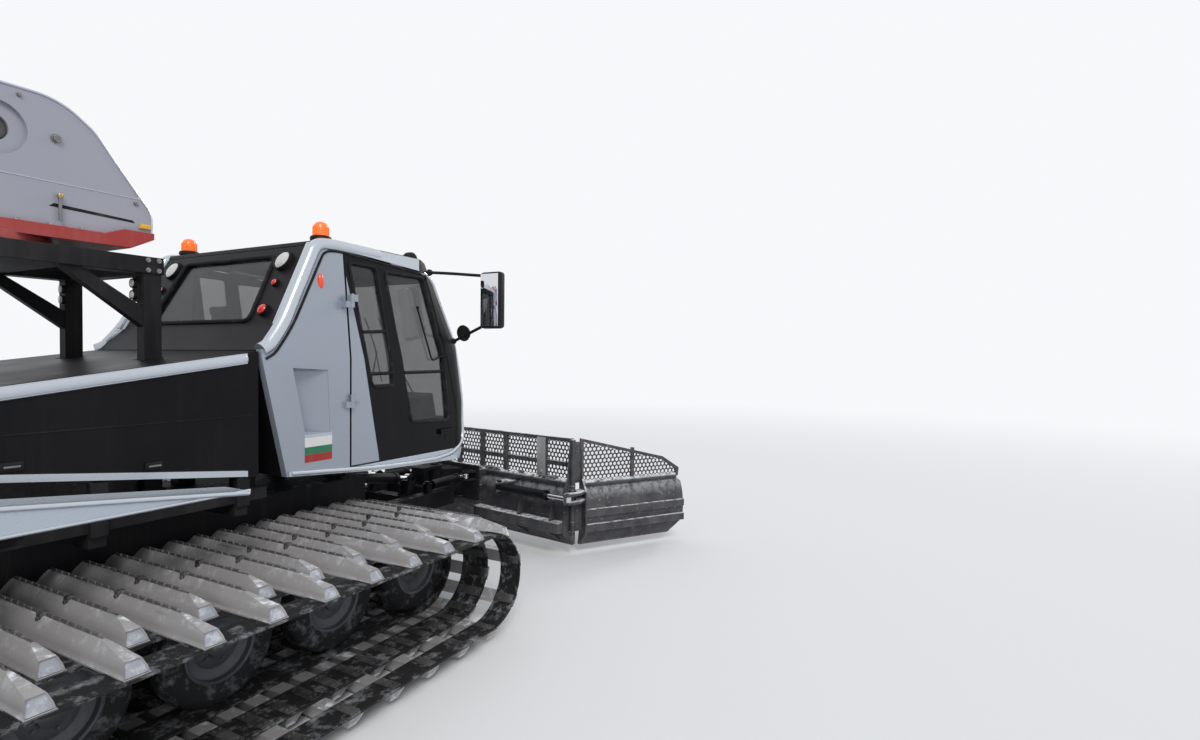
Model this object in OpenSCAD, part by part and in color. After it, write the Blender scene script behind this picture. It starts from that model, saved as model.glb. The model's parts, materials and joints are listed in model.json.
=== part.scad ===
// Snow groomer with a front blade, a slewing winch and a rear tiller.
// Lengths are in millimetres. +X points forward, +Y to the left, +Z up.
// The origin is on the ground, in the middle of the machine's bounding box.

/* [Tracks] */
// Number of road wheels on each side, front idler included
wheel_count = 5; // [4:1:6]
// Distance between road wheels
wheel_pitch = 720; // [690:5:760]
// Place of the front idler's axle along the machine
idler_x = 1097; // [1060:1:1120]
// Radius of the loop at a wheel, to the outside of the belts
loop_r = 323; // [315:1:328]
// Distance from the last road wheel back to the drive sprocket
sprocket_gap = 757; // [720:1:790]
// How much higher than the wheels the drive sprocket sits
sprocket_rise = 22; // [0:1:60]
// Thickness of the rubber belts
belt_t = 14; // [8:1:20]
// Number of cross bars on one track, an even number
grouser_count = 64; // [60:2:66]
// Height of a cross bar above the belts
grouser_h = 110; // [80:1:118]
// Width of a cross bar's foot along the track
grouser_w = 92; // [60:1:104]
// Outer end of the long cross bars from the middle of the machine
track_half_w = 2100; // [2060:1:2130]
// How much shorter the short cross bars are at their outer end
short_step = 288; // [250:1:300]
// Width of a road wheel's tyre
tyre_w = 150; // [110:1:190]
// Distance of the wheels' middle plane from the middle of the machine
wheel_y = 1345; // [1335:1:1355]

/* [Hull] */
// Half width of the tub between the tracks
tub_half_w = 560; // [500:1:590]
// Lowest face of the tub
tub_bottom = 270; // [240:1:320]
// Top face of the tub
tub_top = 985; // [960:1:1000]
// Foremost face of the tub
tub_front = 1395; // [1360:1:1420]
// Rear face of the tub
tub_rear = -2760; // [-2800:1:-2730]

/* [Cab] */
// Half width of the cab below its waist
cab_half_w = 1000; // [960:1:1040]
// How much narrower the cab is at its roof than at its waist, on each side
roof_in = 90; // [60:1:130]
// Height of the cab's waist line
waist_z = 1955; // [1900:1:2000]
// Highest line of the cab's roof
roof_z = 2800; // [2760:1:2840]
// Underside of the cab
cab_bottom = 1066; // [1060:1:1090]
// Foremost face of the cab
cab_nose_x = 2222; // [2190:1:2260]
// Radius of the cab's front corners, seen from above
cab_corner_r = 210; // [150:1:260]
// Thickness of the cab's walls and doors
wall = 52; // [40:1:60]
// Thickness of the windows
glass_t = 8; // [5:1:10]
// Rear edge of the doors, at their hinges
door_rear_x = 858; // [845:1:880]
// Gap around a door
door_gap = 7; // [6:1:12]
// Gap over the doors, where their rear corners swing under the falling roof line
door_top_gap = 13; // [12:1:16]
// Height of the mirror housings
mirror_h = 480; // [380:1:520]

/* [Engine bay] */
// Rear end of the engine cover
cover_rear = -1990; // [-2060:1:-1900]
// Thickness of the engine cover's sheets
cover_t = 30; // [15:1:40]
// Length of the engine block
engine_l = 1200; // [900:1:1300]
// Outer face of the fenders from the middle of the machine
fender_half_w = 1500; // [1440:1:1560]

/* [Winch] */
// Place of the winch's slewing axis along the machine
slew_x = -1050; // [-1080:1:-1000]
// Top face of the portal frame that carries the winch
portal_top = 2560; // [2540:1:2575]
// Outer radius of the slewing ring
ring_r = 520; // [470:1:540]
// Half the distance across the outsides of the winch's side plates
plate_half_w = 430; // [400:1:450]
// Radius of the rope drum's barrel
drum_r = 170; // [120:1:190]
// Distance from the slewing axis to the pulley at the boom's tip
boom_reach = 3060; // [2800:1:3200]

/* [Blade] */
// Place of the lift axis along the machine
lift_x = 1500; // [1480:1:1510]
// Height of the lift axis
lift_z = 600; // [580:1:640]
// Place of the vertical swivel pin along the machine
swivel_x = 2850; // [2820:1:2880]
// Distance from the swivel pin forward to the blade's lower edge
blade_reach = 550; // [530:1:580]
// Angle at which the blade stands, its right end back
blade_yaw = 10; // [0:1:14]
// Half width of the blade between its wings
blade_half_w = 1480; // [1450:1:1600]
// Height of the blade's closed lower part
blade_h = 610; // [560:1:640]
// Height of the see-through upper part
mesh_h = 465; // [400:1:480]
// Gap between the blade's lower edge and the ground
blade_lift = 90; // [40:1:110]
// Length of a wing
wing_l = 1300; // [1200:1:1320]
// Angle at which the wings are folded forward
wing_fold = 65; // [55:1:70]
// Thickness of the blade's sheets
sheet_t = 14; // [8:1:20]

/* [Tiller] */
// Place of the tiller's lift axis along the machine
hitch_x = -2850; // [-2870:1:-2835]
// Height of the tiller's lift axis
hitch_z = 620; // [600:1:660]
// Distance from the lift axis back to the rotor's axis
rotor_reach = 1130; // [1100:1:1180]
// Half width of the tiller's hood
tiller_half_w = 2330; // [2250:1:2350]
// Radius of the rotor over its teeth
rotor_r = 185; // [165:1:195]
// Height of the rotor's axis
rotor_z = 300; // [280:1:320]
// Gap between the finisher's comb and the ground
comb_lift = 40; // [25:1:60]

/* [Hidden] */
$fn = 32;

// Running gap between faces that rest on each other
seat = 0.3;
// Colours
panel_grey = [0.58, 0.62, 0.68];
black = [0.05, 0.05, 0.06];
silver = [0.75, 0.77, 0.79];
steel = [0.35, 0.36, 0.38];
rubber = [0.08, 0.08, 0.08];
red = [0.65, 0.08, 0.05];
orange = [0.95, 0.42, 0.05];
tint = [0.2, 0.25, 0.28, 0.5];

// Plain helpers
module across(y0, y1) translate([0, y1, 0]) rotate([90, 0, 0]) linear_extrude(y1 - y0) children();
module along(x0, x1) translate([x0, 0, 0]) rotate([90, 0, 90]) linear_extrude(x1 - x0) children();
module upward(z0, z1) translate([0, 0, z0]) linear_extrude(z1 - z0) children();
module both_sides() {
  children();
  mirror([0, 1, 0]) children();
}
module axle(x, z, y0, y1, r) translate([x, y0, z]) rotate([-90, 0, 0]) cylinder(h = y1 - y0, r = r);
module box(x0, x1, y0, y1, z0, z1) translate([x0, y0, z0]) cube([x1 - x0, y1 - y0, z1 - z0]);
module ring(r_out, r_in, h) {
  difference() {
    cylinder(h = h, r = r_out);
    translate([0, 0, -1]) cylinder(h = h + 2, r = r_in);
  }
}

// A round bar between two points
function turn(v) = [0, acos(v[2] / norm(v)), atan2(v[1], v[0])];
module bar(p, q, r) translate(p) rotate(turn(q - p)) cylinder(h = norm(q - p), r = r);

// Outline helpers: a counter-clockwise outline moved inwards by d
function unit(v) = v / norm(v);
function left_of(v) = [-v[1], v[0]];
function inset_point(a, b, c, d) =
  let (m = left_of(unit(b - a)), n = left_of(unit(c - b)))
  b + d / (1 + m * n) * (m + n);
function inset(pts, d) =
  let (n = len(pts))
  [for (i = [0:n - 1]) inset_point(pts[(i + n - 1) % n], pts[i], pts[(i + 1) % n], d)];

// Track loop: a belt pulled tight round the idler, the last road wheel and the sprocket
axle_z = grouser_h + loop_r;
last_wheel_x = idler_x - (wheel_count - 1) * wheel_pitch;
sprocket_x = last_wheel_x - sprocket_gap;
sprocket_z = axle_z + sprocket_rise;
// columns: x, z, radius
LOOP = [
  [idler_x, axle_z, loop_r],
  [sprocket_x, sprocket_z, loop_r],
  [last_wheel_x, axle_z, loop_r]
];
function corner(i) = LOOP[i % 3];
function middle(i) = [corner(i)[0], corner(i)[1]];
function facing(i) =
  let (v = middle(i + 1) - middle(i))
  atan2(v[1], v[0]) - acos((corner(i)[2] - corner(i + 1)[2]) / norm(v));
function wrap(a) = a < 0 ? a + 360 : a >= 360 ? a - 360 : a;
function sweep(i) = wrap(facing(i) - facing(i + 2));
function arc_l(i) = corner(i)[2] * sweep(i) * PI / 180;
function run_l(i) = norm(middle(i + 1) - middle(i));
loop_l = arc_l(0) + run_l(0) + arc_l(1) + run_l(1) + arc_l(2) + run_l(2);
shoe_pitch = loop_l / grouser_count;
function out(a) = [cos(a), sin(a)];
// Where the loop is after a distance s: its point and the direction it faces
function on_arc(i, s) =
  let (a = facing(i + 2) + s / corner(i)[2] * 180 / PI)
  [middle(i) + corner(i)[2] * out(a), a];
function on_run(i, s) =
  [middle(i) + corner(i)[2] * out(facing(i)) + s * left_of(out(facing(i))), facing(i)];
function station(s, i = 0) =
  s < arc_l(i) ? on_arc(i, s)
  : s < arc_l(i) + run_l(i) ? on_run(i, s - arc_l(i))
  : station(s - arc_l(i) - run_l(i), i + 1);
SHOES = [for (k = [0:grouser_count - 1]) station(k * shoe_pitch)];
function shoe(k) = SHOES[(k + grouser_count) % grouser_count];
// The belts are flat under each cross bar and bend between two bars
function bends(k) = abs(wrap(shoe(k + 1)[1] - shoe(k)[1] + 180) - 180) > 0.01;
function knee(k, d) =
  let (p = shoe(k), q = shoe(k + 1), n = out(p[1]), m = out(q[1]),
       a = p[0] + d * n, b = q[0] + d * m, t = left_of(n))
  a + t * (((b - a) * m) / (t * m));
function belt_outline(d) = [for (k = [0:grouser_count - 1]) if (bends(k)) knee(k, d)];

// columns: inner edge, outer edge of each belt
BELTS = [
  [700, 870], [930, 1110], [wheel_y - 115, wheel_y + 115], [1580, 1810],
  [track_half_w - 170, track_half_w]
];
track_inner = 640;
// Slopes at the ends of the cross bars, measured along the ridge
long_slope = 240;
short_slope = 150;
inner_slope = 60;
ridge_w = 18;

module belts() {
  for (b = BELTS) {
    across(b[0], b[1]) difference() {
      polygon(belt_outline(0));
      polygon(belt_outline(-belt_t));
    }
  }
}
module grouser_section() {
  polygon([
    [-grouser_w / 2, 0], [grouser_w / 2, 0], [grouser_w * 0.45, grouser_h * 0.36],
    [ridge_w / 2, grouser_h - seat], [-ridge_w / 2, grouser_h - seat],
    [-grouser_w * 0.45, grouser_h * 0.36]
  ]);
}
module grouser(y_end, slope) {
  intersection() {
    across(track_inner, y_end) grouser_section();
    along(-grouser_w, grouser_w) polygon([
      [track_inner, -1], [y_end, -1], [y_end, 8],
      [y_end - slope, grouser_h], [track_inner + inner_slope, grouser_h]
    ]);
  }
}
module grousers() {
  for (k = [0:grouser_count - 1]) {
    p = shoe(k);
    lengthened = k % 2 == 0;
    translate([p[0][0], 0, p[0][1]]) rotate([0, 90 - p[1], 0]) translate([0, 0, seat])
      grouser(lengthened ? track_half_w : track_half_w - short_step, lengthened ? long_slope : short_slope);
  }
}

// Wheels
tyre_r = loop_r - belt_t - seat;
rim_r = 0.58 * tyre_r;
hub_r = 75;
axle_r = 45;
module tyre_section() {
  polygon([
    [rim_r, -tyre_w * 0.36], [tyre_r - 45, -tyre_w / 2], [tyre_r - 14, -tyre_w * 0.42],
    [tyre_r, -tyre_w * 0.22], [tyre_r, tyre_w * 0.22], [tyre_r - 14, tyre_w * 0.42],
    [tyre_r - 45, tyre_w / 2], [rim_r, tyre_w * 0.36]
  ]);
}
module wheel(x) {
  translate([x, wheel_y, axle_z]) rotate([-90, 0, 0]) {
    rotate_extrude($fn = 24) tyre_section();
    difference() {
      translate([0, 0, -tyre_w * 0.36]) cylinder(h = tyre_w * 0.72, r = rim_r);
      translate([0, 0, tyre_w * 0.08]) cylinder(h = tyre_w, r = rim_r - 22);
      for (a = [0:60:300]) rotate(a) translate([rim_r * 0.62, 0, -tyre_w]) cylinder(h = 2 * tyre_w, r = 24);
    }
    cylinder(h = tyre_w * 0.48, r = hub_r - 15);
  }
}
module wheels() {
  for (i = [0:wheel_count - 1]) wheel(idler_x - i * wheel_pitch);
}

// Sprockets: toothed discs between the belts, on one drum
tooth_count = 14;
sprocket_disc_t = 40;
SPROCKET_Y = [(BELTS[1][1] + BELTS[2][0]) / 2, (BELTS[2][1] + BELTS[3][0]) / 2];
tooth_tip = loop_r - 3;
tooth_root = loop_r - belt_t - 48;
module sprocket_disc() {
  step = 360 / tooth_count;
  difference() {
    polygon([for (i = [0:tooth_count - 1]) for (e = [
      [-0.36, tooth_root], [-0.16, tooth_tip], [0.16, tooth_tip], [0.36, tooth_root]
    ]) e[1] * out((i + e[0]) * step)]);
    for (a = [0:60:300]) rotate(a) translate([tooth_root * 0.68, 0]) circle(r = 40);
  }
}
module sprocket_side() {
  for (y = SPROCKET_Y)
    translate([sprocket_x, y + sprocket_disc_t / 2, sprocket_z]) rotate([90, 0, 0])
      linear_extrude(sprocket_disc_t) sprocket_disc();
  axle(sprocket_x, sprocket_z, tub_half_w + seat, SPROCKET_Y[1] + 90, 120);
  axle(sprocket_x, sprocket_z, tub_half_w + seat, tub_half_w + 90, 190);
}

// Running gear: axle stubs and swing arms on the tub's sides
module running_gear_side() {
  for (i = [0:wheel_count - 1]) {
    x = idler_x - i * wheel_pitch;
    axle(x, axle_z, tub_half_w + seat, wheel_y - tyre_w * 0.36 - seat, axle_r);
    across(tub_half_w + seat, tub_half_w + 55) polygon([
      [x - 75, axle_z - 60], [x + 20, axle_z - 75], [x + 270, axle_z + 70],
      [x + 270, axle_z + 170], [x + 180, axle_z + 180], [x - 70, axle_z + 70]
    ]);
  }
}

// Tub
tub_front_low = tub_front - 230;
module tub_outline() {
  polygon([
    [tub_front_low - 120, tub_bottom], [tub_front_low, tub_bottom + 90], [tub_front, 520],
    [tub_front, tub_top], [tub_rear, tub_top], [tub_rear, 470],
    [tub_rear + 170, tub_bottom + 60], [tub_rear + 260, tub_bottom]
  ]);
}
lug_t = 28;
lift_y = 380;
module lug_pair(y, gap) {
  shift = gap / 2 + lug_t / 2;
  for (s = [-1, 1]) across(y + s * shift - lug_t / 2, y + s * shift + lug_t / 2)
    children();
}
// Pin bores leave this much room around their pins
pin_fit = 0.05;
pin_r = 28;
lift_cyl_y = 210;
lift_cyl_base = [tub_front + 78, 905];
arm_w = 110;
module lift_lug_outline() {
  difference() {
    polygon([
      [tub_front - 5, lift_z - 90], [lift_x - 20, lift_z - 75], [lift_x + 60, lift_z - 45],
      [lift_x + 60, lift_z + 45], [lift_x - 20, lift_z + 75], [tub_front - 5, lift_z + 120]
    ]);
    translate([lift_x, lift_z]) circle(r = pin_r + pin_fit);
  }
}
module cyl_lug_outline() {
  difference() {
    polygon([
      [tub_front - 5, lift_cyl_base[1] - 90], [lift_cyl_base[0] + 40, lift_cyl_base[1] - 45],
      [lift_cyl_base[0] + 55, lift_cyl_base[1]], [lift_cyl_base[0] + 35, lift_cyl_base[1] + 45],
      [tub_front - 5, lift_cyl_base[1] + 65]
    ]);
    translate(lift_cyl_base) circle(r = pin_r + pin_fit);
  }
}
hitch_y = 400;
tiller_cyl_y = 180;
tiller_cyl_base = [hitch_x - 20, 1010];
module hitch_lug_outline() {
  difference() {
    polygon([
      [tub_rear + 5, hitch_z + 110], [hitch_x - 5, hitch_z + 62], [hitch_x - 55, hitch_z + 30],
      [hitch_x - 55, hitch_z - 30], [hitch_x - 5, hitch_z - 62], [tub_rear + 5, hitch_z - 100]
    ]);
    translate([hitch_x, hitch_z]) circle(r = pin_r + pin_fit);
  }
}
module tiller_lug_outline() {
  c = tiller_cyl_base;
  difference() {
    polygon([
      [tub_rear + 5, c[1] - 140], [c[0] - 25, c[1] - 42], [c[0] - 46, c[1]], [c[0] - 25, c[1] + 42],
      [c[0] + 30, c[1] + 46], [tub_rear + 60, tub_top - 5], [tub_rear + 60, tub_top - 60],
      [tub_rear + 5, tub_top - 60]
    ]);
    translate(c) circle(r = pin_r + pin_fit);
  }
}
// Towing jaw in the middle of the rear wall
tow_z = 560;
tow_r = 20;
tow_x = tub_rear - 60;
module tub() {
  color(black) {
    across(-tub_half_w, tub_half_w) tub_outline();
    both_sides() lug_pair(lift_y, arm_w + 8) lift_lug_outline();
    both_sides() lug_pair(lift_cyl_y, 78) cyl_lug_outline();
    both_sides() lug_pair(hitch_y, arm_w + 8) hitch_lug_outline();
    both_sides() lug_pair(tiller_cyl_y, 78) tiller_lug_outline();
    difference() {
      for (z = [tow_z - 45, tow_z + 20]) box(tow_x - 45, tub_rear + 5, -60, 60, z, z + 25);
      translate([tow_x, 0, tow_z - 100]) cylinder(h = 200, r = tow_r);
    }
  }
}
module running_gear() color(steel) both_sides() running_gear_side();
module wheels_left() color(rubber) wheels();
module wheels_right() color(rubber) mirror([0, 1, 0]) wheels();
module sprockets() color(steel) both_sides() sprocket_side();
module belts_left() color(rubber) belts();
module belts_right() color(rubber) mirror([0, 1, 0]) belts();
module grousers_left() color(silver) grousers();
module grousers_right() color(silver) mirror([0, 1, 0]) grousers();

// Cab outlines. Side view, counter-clockwise from the rear low corner
cab_rear_x = 170;
sill_z = 1166;
roof_half_w = cab_half_w - roof_in;
roof_drop = 82;
roof_front = [cab_nose_x - 381, roof_z - roof_drop];
CAB_SIDE = [
  [cab_rear_x + 174, cab_bottom + 112], [cab_rear_x + 965, cab_bottom + 38],
  [cab_nose_x - 161, cab_bottom], [cab_nose_x, cab_bottom + 149], [cab_nose_x - 5, 1580],
  [cab_nose_x - 102, 2100], roof_front, [cab_nose_x - 560, roof_z - 14],
  [794, roof_z], [652, roof_z - 20], [338, 2175], [cab_rear_x, waist_z + 50], [cab_rear_x, waist_z]
];
module cab_side_view(d) across(-1500, 1500) polygon(inset(CAB_SIDE, d));
module cab_front_view(d) {
  along(-1000, 3000) polygon(inset([
    [cab_half_w, cab_bottom - 60], [cab_half_w, waist_z], [roof_half_w, roof_z + 60],
    [-roof_half_w, roof_z + 60], [-cab_half_w, waist_z], [-cab_half_w, cab_bottom - 60]
  ], d));
}
// Outward direction of the nose between two points of its outline
function nose_out(i) =
  let (v = unit(CAB_SIDE[i + 1] - CAB_SIDE[i]))
  [v[1], 0, -v[0]];
side_lean = atan2(roof_in, roof_z + 60 - waist_z);
// Slanting corners of the nose, rounded with flat cuts that touch the corner's curve
// columns: point on the sharp corner, outward direction of the nose, of the side
NOSE_CORNERS = [
  [[CAB_SIDE[4][0], cab_half_w, CAB_SIDE[4][1]], nose_out(4), [0, 1, 0]],
  [[CAB_SIDE[5][0], skin_y(CAB_SIDE[5][1]), CAB_SIDE[5][1]], nose_out(5),
    [0, cos(side_lean), sin(side_lean)]]
];
module corner_cuts(d) {
  for (c = NOSE_CORNERS) for (part = [0.25, 0.5, 0.75]) {
    facing = unit((1 - part) * c[1] + part * c[2]);
    centre = c[0] - cab_corner_r * (c[1] + c[2]) / (1 + c[1] * c[2]);
    translate(centre + (cab_corner_r - d) * facing) rotate(turn(facing))
      translate([-900, -900, 0]) cube([1800, 1800, 600]);
  }
}
module cab_plan_view(d) {
  r = cab_corner_r;
  nose = cab_nose_x;
  difference() {
    upward(cab_bottom - 100, roof_z + 100) {
      translate([-500, -cab_half_w]) square([nose - r + 500, 2 * cab_half_w]);
      translate([-500, r - cab_half_w]) square([nose - d + 500, 2 * (cab_half_w - r)]);
      for (s = [-1, 1]) translate([nose - r, s * (cab_half_w - r)]) circle(r = r - d, $fn = 48);
    }
    both_sides() corner_cuts(d);
  }
}
module cab_outer() {
  intersection() {
    cab_side_view(0);
    cab_front_view(0);
    cab_plan_view(0);
  }
}
module cab_inner() {
  intersection() {
    cab_side_view(wall);
    cab_front_view(wall);
    cab_plan_view(wall);
  }
}
// Lines in the side view that part the cab's panels
roof_cut_rear = roof_z - 66;
roof_cut_front = roof_front[1] - 62;
door_front_low = 2010;
door_front_high = 1690;
function roof_cut(x) =
  roof_cut_rear + (x - 794) * (roof_cut_front - roof_cut_rear) / (roof_front[0] - 794);
DOOR = [
  [door_rear_x, sill_z + door_gap], [door_front_low, sill_z + door_gap], [door_front_low, 1510],
  [door_front_high, roof_cut(door_front_high) - door_top_gap],
  [door_rear_x, roof_cut(door_rear_x) - door_top_gap]
];
module below_roof() polygon([
  [-200, sill_z], [2600, sill_z], [2600, roof_cut(2600)], [-200, roof_cut(-200)]
]);
module above_roof() polygon([[-200, roof_cut(-200)], [2600, roof_cut(2600)], [2600, 3200], [-200, 3200]]);
module behind_door() polygon([
  [-200, sill_z], [door_rear_x - door_gap, sill_z], [door_rear_x - door_gap, 3200], [-200, 3200]
]);
// The front frame starts a gap in front of the doors' edge
module before_door() polygon([
  [door_front_low + door_gap, sill_z], [2600, sill_z], [2600, 3200], [1680, 3200],
  [door_front_high + door_gap, roof_cut(door_front_high)], [door_front_low + door_gap, 1510]
]);

// Scoop pressed into the fixed side panels: deep at the rear, running out to the front
SCOOP = [[479, 1460], [679, 1440], [662, 1873], [389, 1890]];
scoop_depth = 110;
module scoop_side() {
  hull() {
    across(cab_half_w - 4, cab_half_w + 40) polygon(SCOOP);
    across(cab_half_w - scoop_depth, cab_half_w - scoop_depth + 4) polygon([
      [SCOOP[0][0] + 12, SCOOP[0][1] + 8], [SCOOP[0][0] + 60, SCOOP[0][1] + 4],
      [SCOOP[3][0] + 75, SCOOP[3][1] - 22], [SCOOP[3][0] + 12, SCOOP[3][1] - 20]
    ]);
  }
}
module scoop_back() {
  across(cab_half_w - scoop_depth - 14, cab_half_w - wall) polygon(inset(SCOOP, -16));
}
module cab_side_left() {
  for (z = HINGE_Z) hinge_base(z);
  difference() {
    union() {
      difference() {
        intersection() {
          cab_outer();
          across(0, 1500) intersection() {
            behind_door();
            below_roof();
          }
        }
        cab_front_view(wall);
      }
      scoop_back();
    }
    scoop_side();
  }
}
module cab_sides() color(panel_grey) both_sides() cab_side_left();
module cab_floor() {
  color(panel_grey) difference() {
    cab_outer();
    // The pan is open from below at its front
    box(1340, cab_nose_x - 260, -cab_half_w + 180, cab_half_w - 180, cab_bottom - 10, sill_z - 36);
    across(-1500, 1500) polygon([[-500, sill_z - seat], [3000, sill_z - seat], [3000, 4000], [-500, 4000]]);
  }
}
// Rear wall between the side panels, with its window
REAR_GLASS = [[-540, 2682], [-600, 2205], [600, 2205], [540, 2682]];
module rear_opening(d) along(-300, 740) polygon(inset(REAR_GLASS, d));
module cab_rear() {
  color(black) difference() {
    intersection() {
      cab_side_view(0);
      cab_front_view(wall + seat);
      across(-1500, 1500) intersection() {
        behind_door();
        below_roof();
      }
    }
    cab_side_view(wall);
    rear_opening(0);
  }
}
module cab_roof() {
  color(black) difference() {
    intersection() {
      cab_outer();
      across(-1500, 1500) above_roof();
    }
    cab_inner();
    cab_front_opening(0);
  }
}
// Windscreen opening: from above the nose to the roof's edge, round both corners
screen_low = 1405;
screen_high = roof_z - 172;
post_w = 80;
SCREEN = [
  [cab_half_w - post_w, screen_low], [cab_half_w - post_w - 90, screen_high],
  [90 + post_w - cab_half_w, screen_high], [post_w - cab_half_w, screen_low]
];
module cab_front_opening(d) {
  along(cab_nose_x - cab_corner_r - 560, cab_nose_x + 200) polygon(inset(SCREEN, d));
}
module cab_front() {
  color(black) difference() {
    intersection() {
      cab_outer();
      across(-1500, 1500) intersection() {
        before_door();
        below_roof();
      }
    }
    cab_inner();
    cab_front_opening(0);
  }
}
// Glass sheets lie a little inside the outer skin
glass_in = 12;
module cab_sheet() {
  difference() {
    intersection() {
      cab_side_view(glass_in);
      cab_front_view(glass_in);
      cab_plan_view(glass_in);
    }
    intersection() {
      cab_side_view(glass_in + glass_t);
      cab_front_view(glass_in + glass_t);
      cab_plan_view(glass_in + glass_t);
    }
  }
}
module cab_glass() {
  color(tint) {
    intersection() {
      cab_sheet();
      cab_front_opening(seat);
      across(-1500, 1500) before_door();
    }
    intersection() {
      cab_sheet();
      rear_opening(seat);
    }
  }
}

// Doors
WINDOWS = [
  [[1055, 1742], [1280, 1740], [1155, 2650], [893, 2655]],
  [[1465, 1438], [1911, 1421], [1845, 1947], [1658, 2628], [1238, 2627]]
];
module door_leaf() {
  difference() {
    intersection() {
      cab_outer();
      across(0, 1500) polygon(DOOR);
    }
    cab_front_view(wall);
    cab_side_view_front_trim();
    for (w = WINDOWS) across(0, 1500) polygon(w);
  }
}
module cab_side_view_front_trim() {
  across(0, 1500) polygon([[cab_nose_x - 190, 1000], [3000, 1000], [3000, 1700], [cab_nose_x - 190, 1700]]);
}
module door_glass() {
  for (w = WINDOWS) intersection() {
    difference() {
      cab_front_view(glass_in);
      cab_front_view(glass_in + glass_t);
    }
    across(0, 1500) polygon(inset(w, seat));
  }
}
// Hinge knuckles and pins outside the skin
hinge_y = cab_half_w + 22;
hinge_x = door_rear_x - 4;
HINGE_Z = [1645, 2365];
function skin_y(z) =
  cab_half_w - max(0, z - waist_z) * (cab_half_w - roof_half_w) / (roof_z + 60 - waist_z);
hinge_r = 15;
hinge_pin_r = 7;
module hinge_leaf(z) {
  difference() {
    union() {
      translate([hinge_x, hinge_y, z]) cylinder(h = 50, r = hinge_r);
      box(hinge_x + 5, door_rear_x + 45, skin_y(z + 50) - 3, hinge_y + 2, z, z + 50);
    }
    translate([hinge_x, hinge_y, z - 10]) cylinder(h = 80, r = hinge_pin_r + pin_fit);
  }
}
module hinge_base(z) {
  translate([hinge_x, hinge_y, z - 46]) cylinder(h = 45, r = hinge_r);
  box(hinge_x - 55, hinge_x - 3, skin_y(z) - 3, hinge_y + 2, z - 46, z - 1);
  translate([hinge_x, hinge_y, z - 20]) cylinder(h = 75, r = hinge_pin_r);
}
handle_x = 1880;
handle_z = 1330;
module door_handle() {
  difference() {
    box(handle_x - 90, handle_x + 90, cab_half_w - 3, cab_half_w + 28, handle_z - 22, handle_z + 22);
    box(handle_x - 60, handle_x + 60, cab_half_w + 2, cab_half_w + 16, handle_z - 40, handle_z + 40);
  }
}
module door_side() {
  door_leaf();
  for (z = HINGE_Z) hinge_leaf(z);
  door_handle();
}
module door_left() color(black) door_side();
module door_right() color(black) mirror([0, 1, 0]) door_side();
module door_left_glass() color(tint) door_glass();
module door_right_glass() color(tint) mirror([0, 1, 0]) door_glass();

// Inside of the cab
floor_top = sill_z;
seat_x = 980;
seat_gap_y = 430;
seat_w = 520;
module seat_one(y) {
  translate([seat_x, y, floor_top]) {
    translate([40, -160, 0]) cube([340, 320, 275]);
    across(-seat_w / 2, seat_w / 2) polygon([
      [-60, 270], [490, 280], [520, 330], [505, 395], [70, 405], [-60, 980],
      [-110, 1000], [-175, 985], [-190, 940], [-90, 420]
    ]);
    across(-130, 130) polygon([
      [-110, 1020], [-190, 1035], [-235, 1180], [-215, 1215], [-145, 1220], [-125, 1195]
    ]);
    for (s = [-60, 60]) bar([-135, s, 975], [-155, s, 1045], 9);
  }
}
module seats() color(black) for (y = [-seat_gap_y, seat_gap_y]) seat_one(y);
dash_x = cab_nose_x - 380;
module dashboard() {
  color(black) {
    across(-700, 700) polygon([
      [dash_x, floor_top], [dash_x + 190, floor_top], [dash_x + 190, 1240], [dash_x + 270, 1340],
      [dash_x + 200, 1640], [dash_x + 40, 1600], [dash_x - 10, 1500]
    ]);
    bar([dash_x + 60, seat_gap_y, 1560], [dash_x - 150, seat_gap_y, 1690], 24);
    translate([dash_x - 150, seat_gap_y, 1690]) rotate([0, -58, 0]) difference() {
      translate([0, 0, -16]) ring(170, 140, 32);
      box(-200, -60, -90, 90, -40, 40);
    }
    translate([dash_x - 150, seat_gap_y, 1690]) rotate([0, -58, 0]) box(-40, 40, -150, 150, -10, 10);
  }
}

// Mirrors on two arms from the front posts
mirror_x = 2000;
mirror_y = 1400;
mirror_low = 2215;
module grown_cab() {
  intersection() {
    cab_side_view(-seat);
    cab_front_view(-seat);
    cab_plan_view(-seat);
  }
}
module mirror_arms() {
  high = mirror_low + mirror_h;
  bar([1775, cab_half_w - 120, high - 5], [mirror_x, mirror_y - 90, high - 30], 16);
  bar([2040, cab_half_w - 70, 2100], [mirror_x + 10, mirror_y - 90, mirror_low + 30], 14);
  bar([2020, cab_half_w + 75, 2118], [2030, cab_half_w + 75, 2180], 12);
}
module mirror_side() {
  translate([mirror_x - 45, mirror_y - 105, mirror_low]) cube([90, 210, mirror_h]);
  translate([1995, cab_half_w + 75, 2185]) rotate([0, 80, 0]) cylinder(h = 50, r = 73);
  difference() {
    mirror_arms();
    // The arms end on the cab's skin
    grown_cab();
  }
}
module mirrors() color(black) both_sides() mirror_side();

// Lamps
beacon_x = 765;
beacon_y = 800;
module beacons() {
  color(orange) both_sides() translate([beacon_x, beacon_y, roof_z + seat]) {
    cylinder(h = 28, r = 72);
    translate([0, 0, 28]) cylinder(h = 92, r1 = 66, r2 = 58);
    translate([0, 0, 120]) cylinder(h = 22, r1 = 58, r2 = 30);
  }
}
function rear_face(z) = 338 + (z - 2175) * (652 - 338) / (roof_z - 20 - 2175);
rear_lean = atan2(652 - 338, roof_z - 20 - 2175);
module on_rear(y, z) translate([rear_face(z) - seat, y, z]) rotate([0, -90 + rear_lean, 0]) children();
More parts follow.
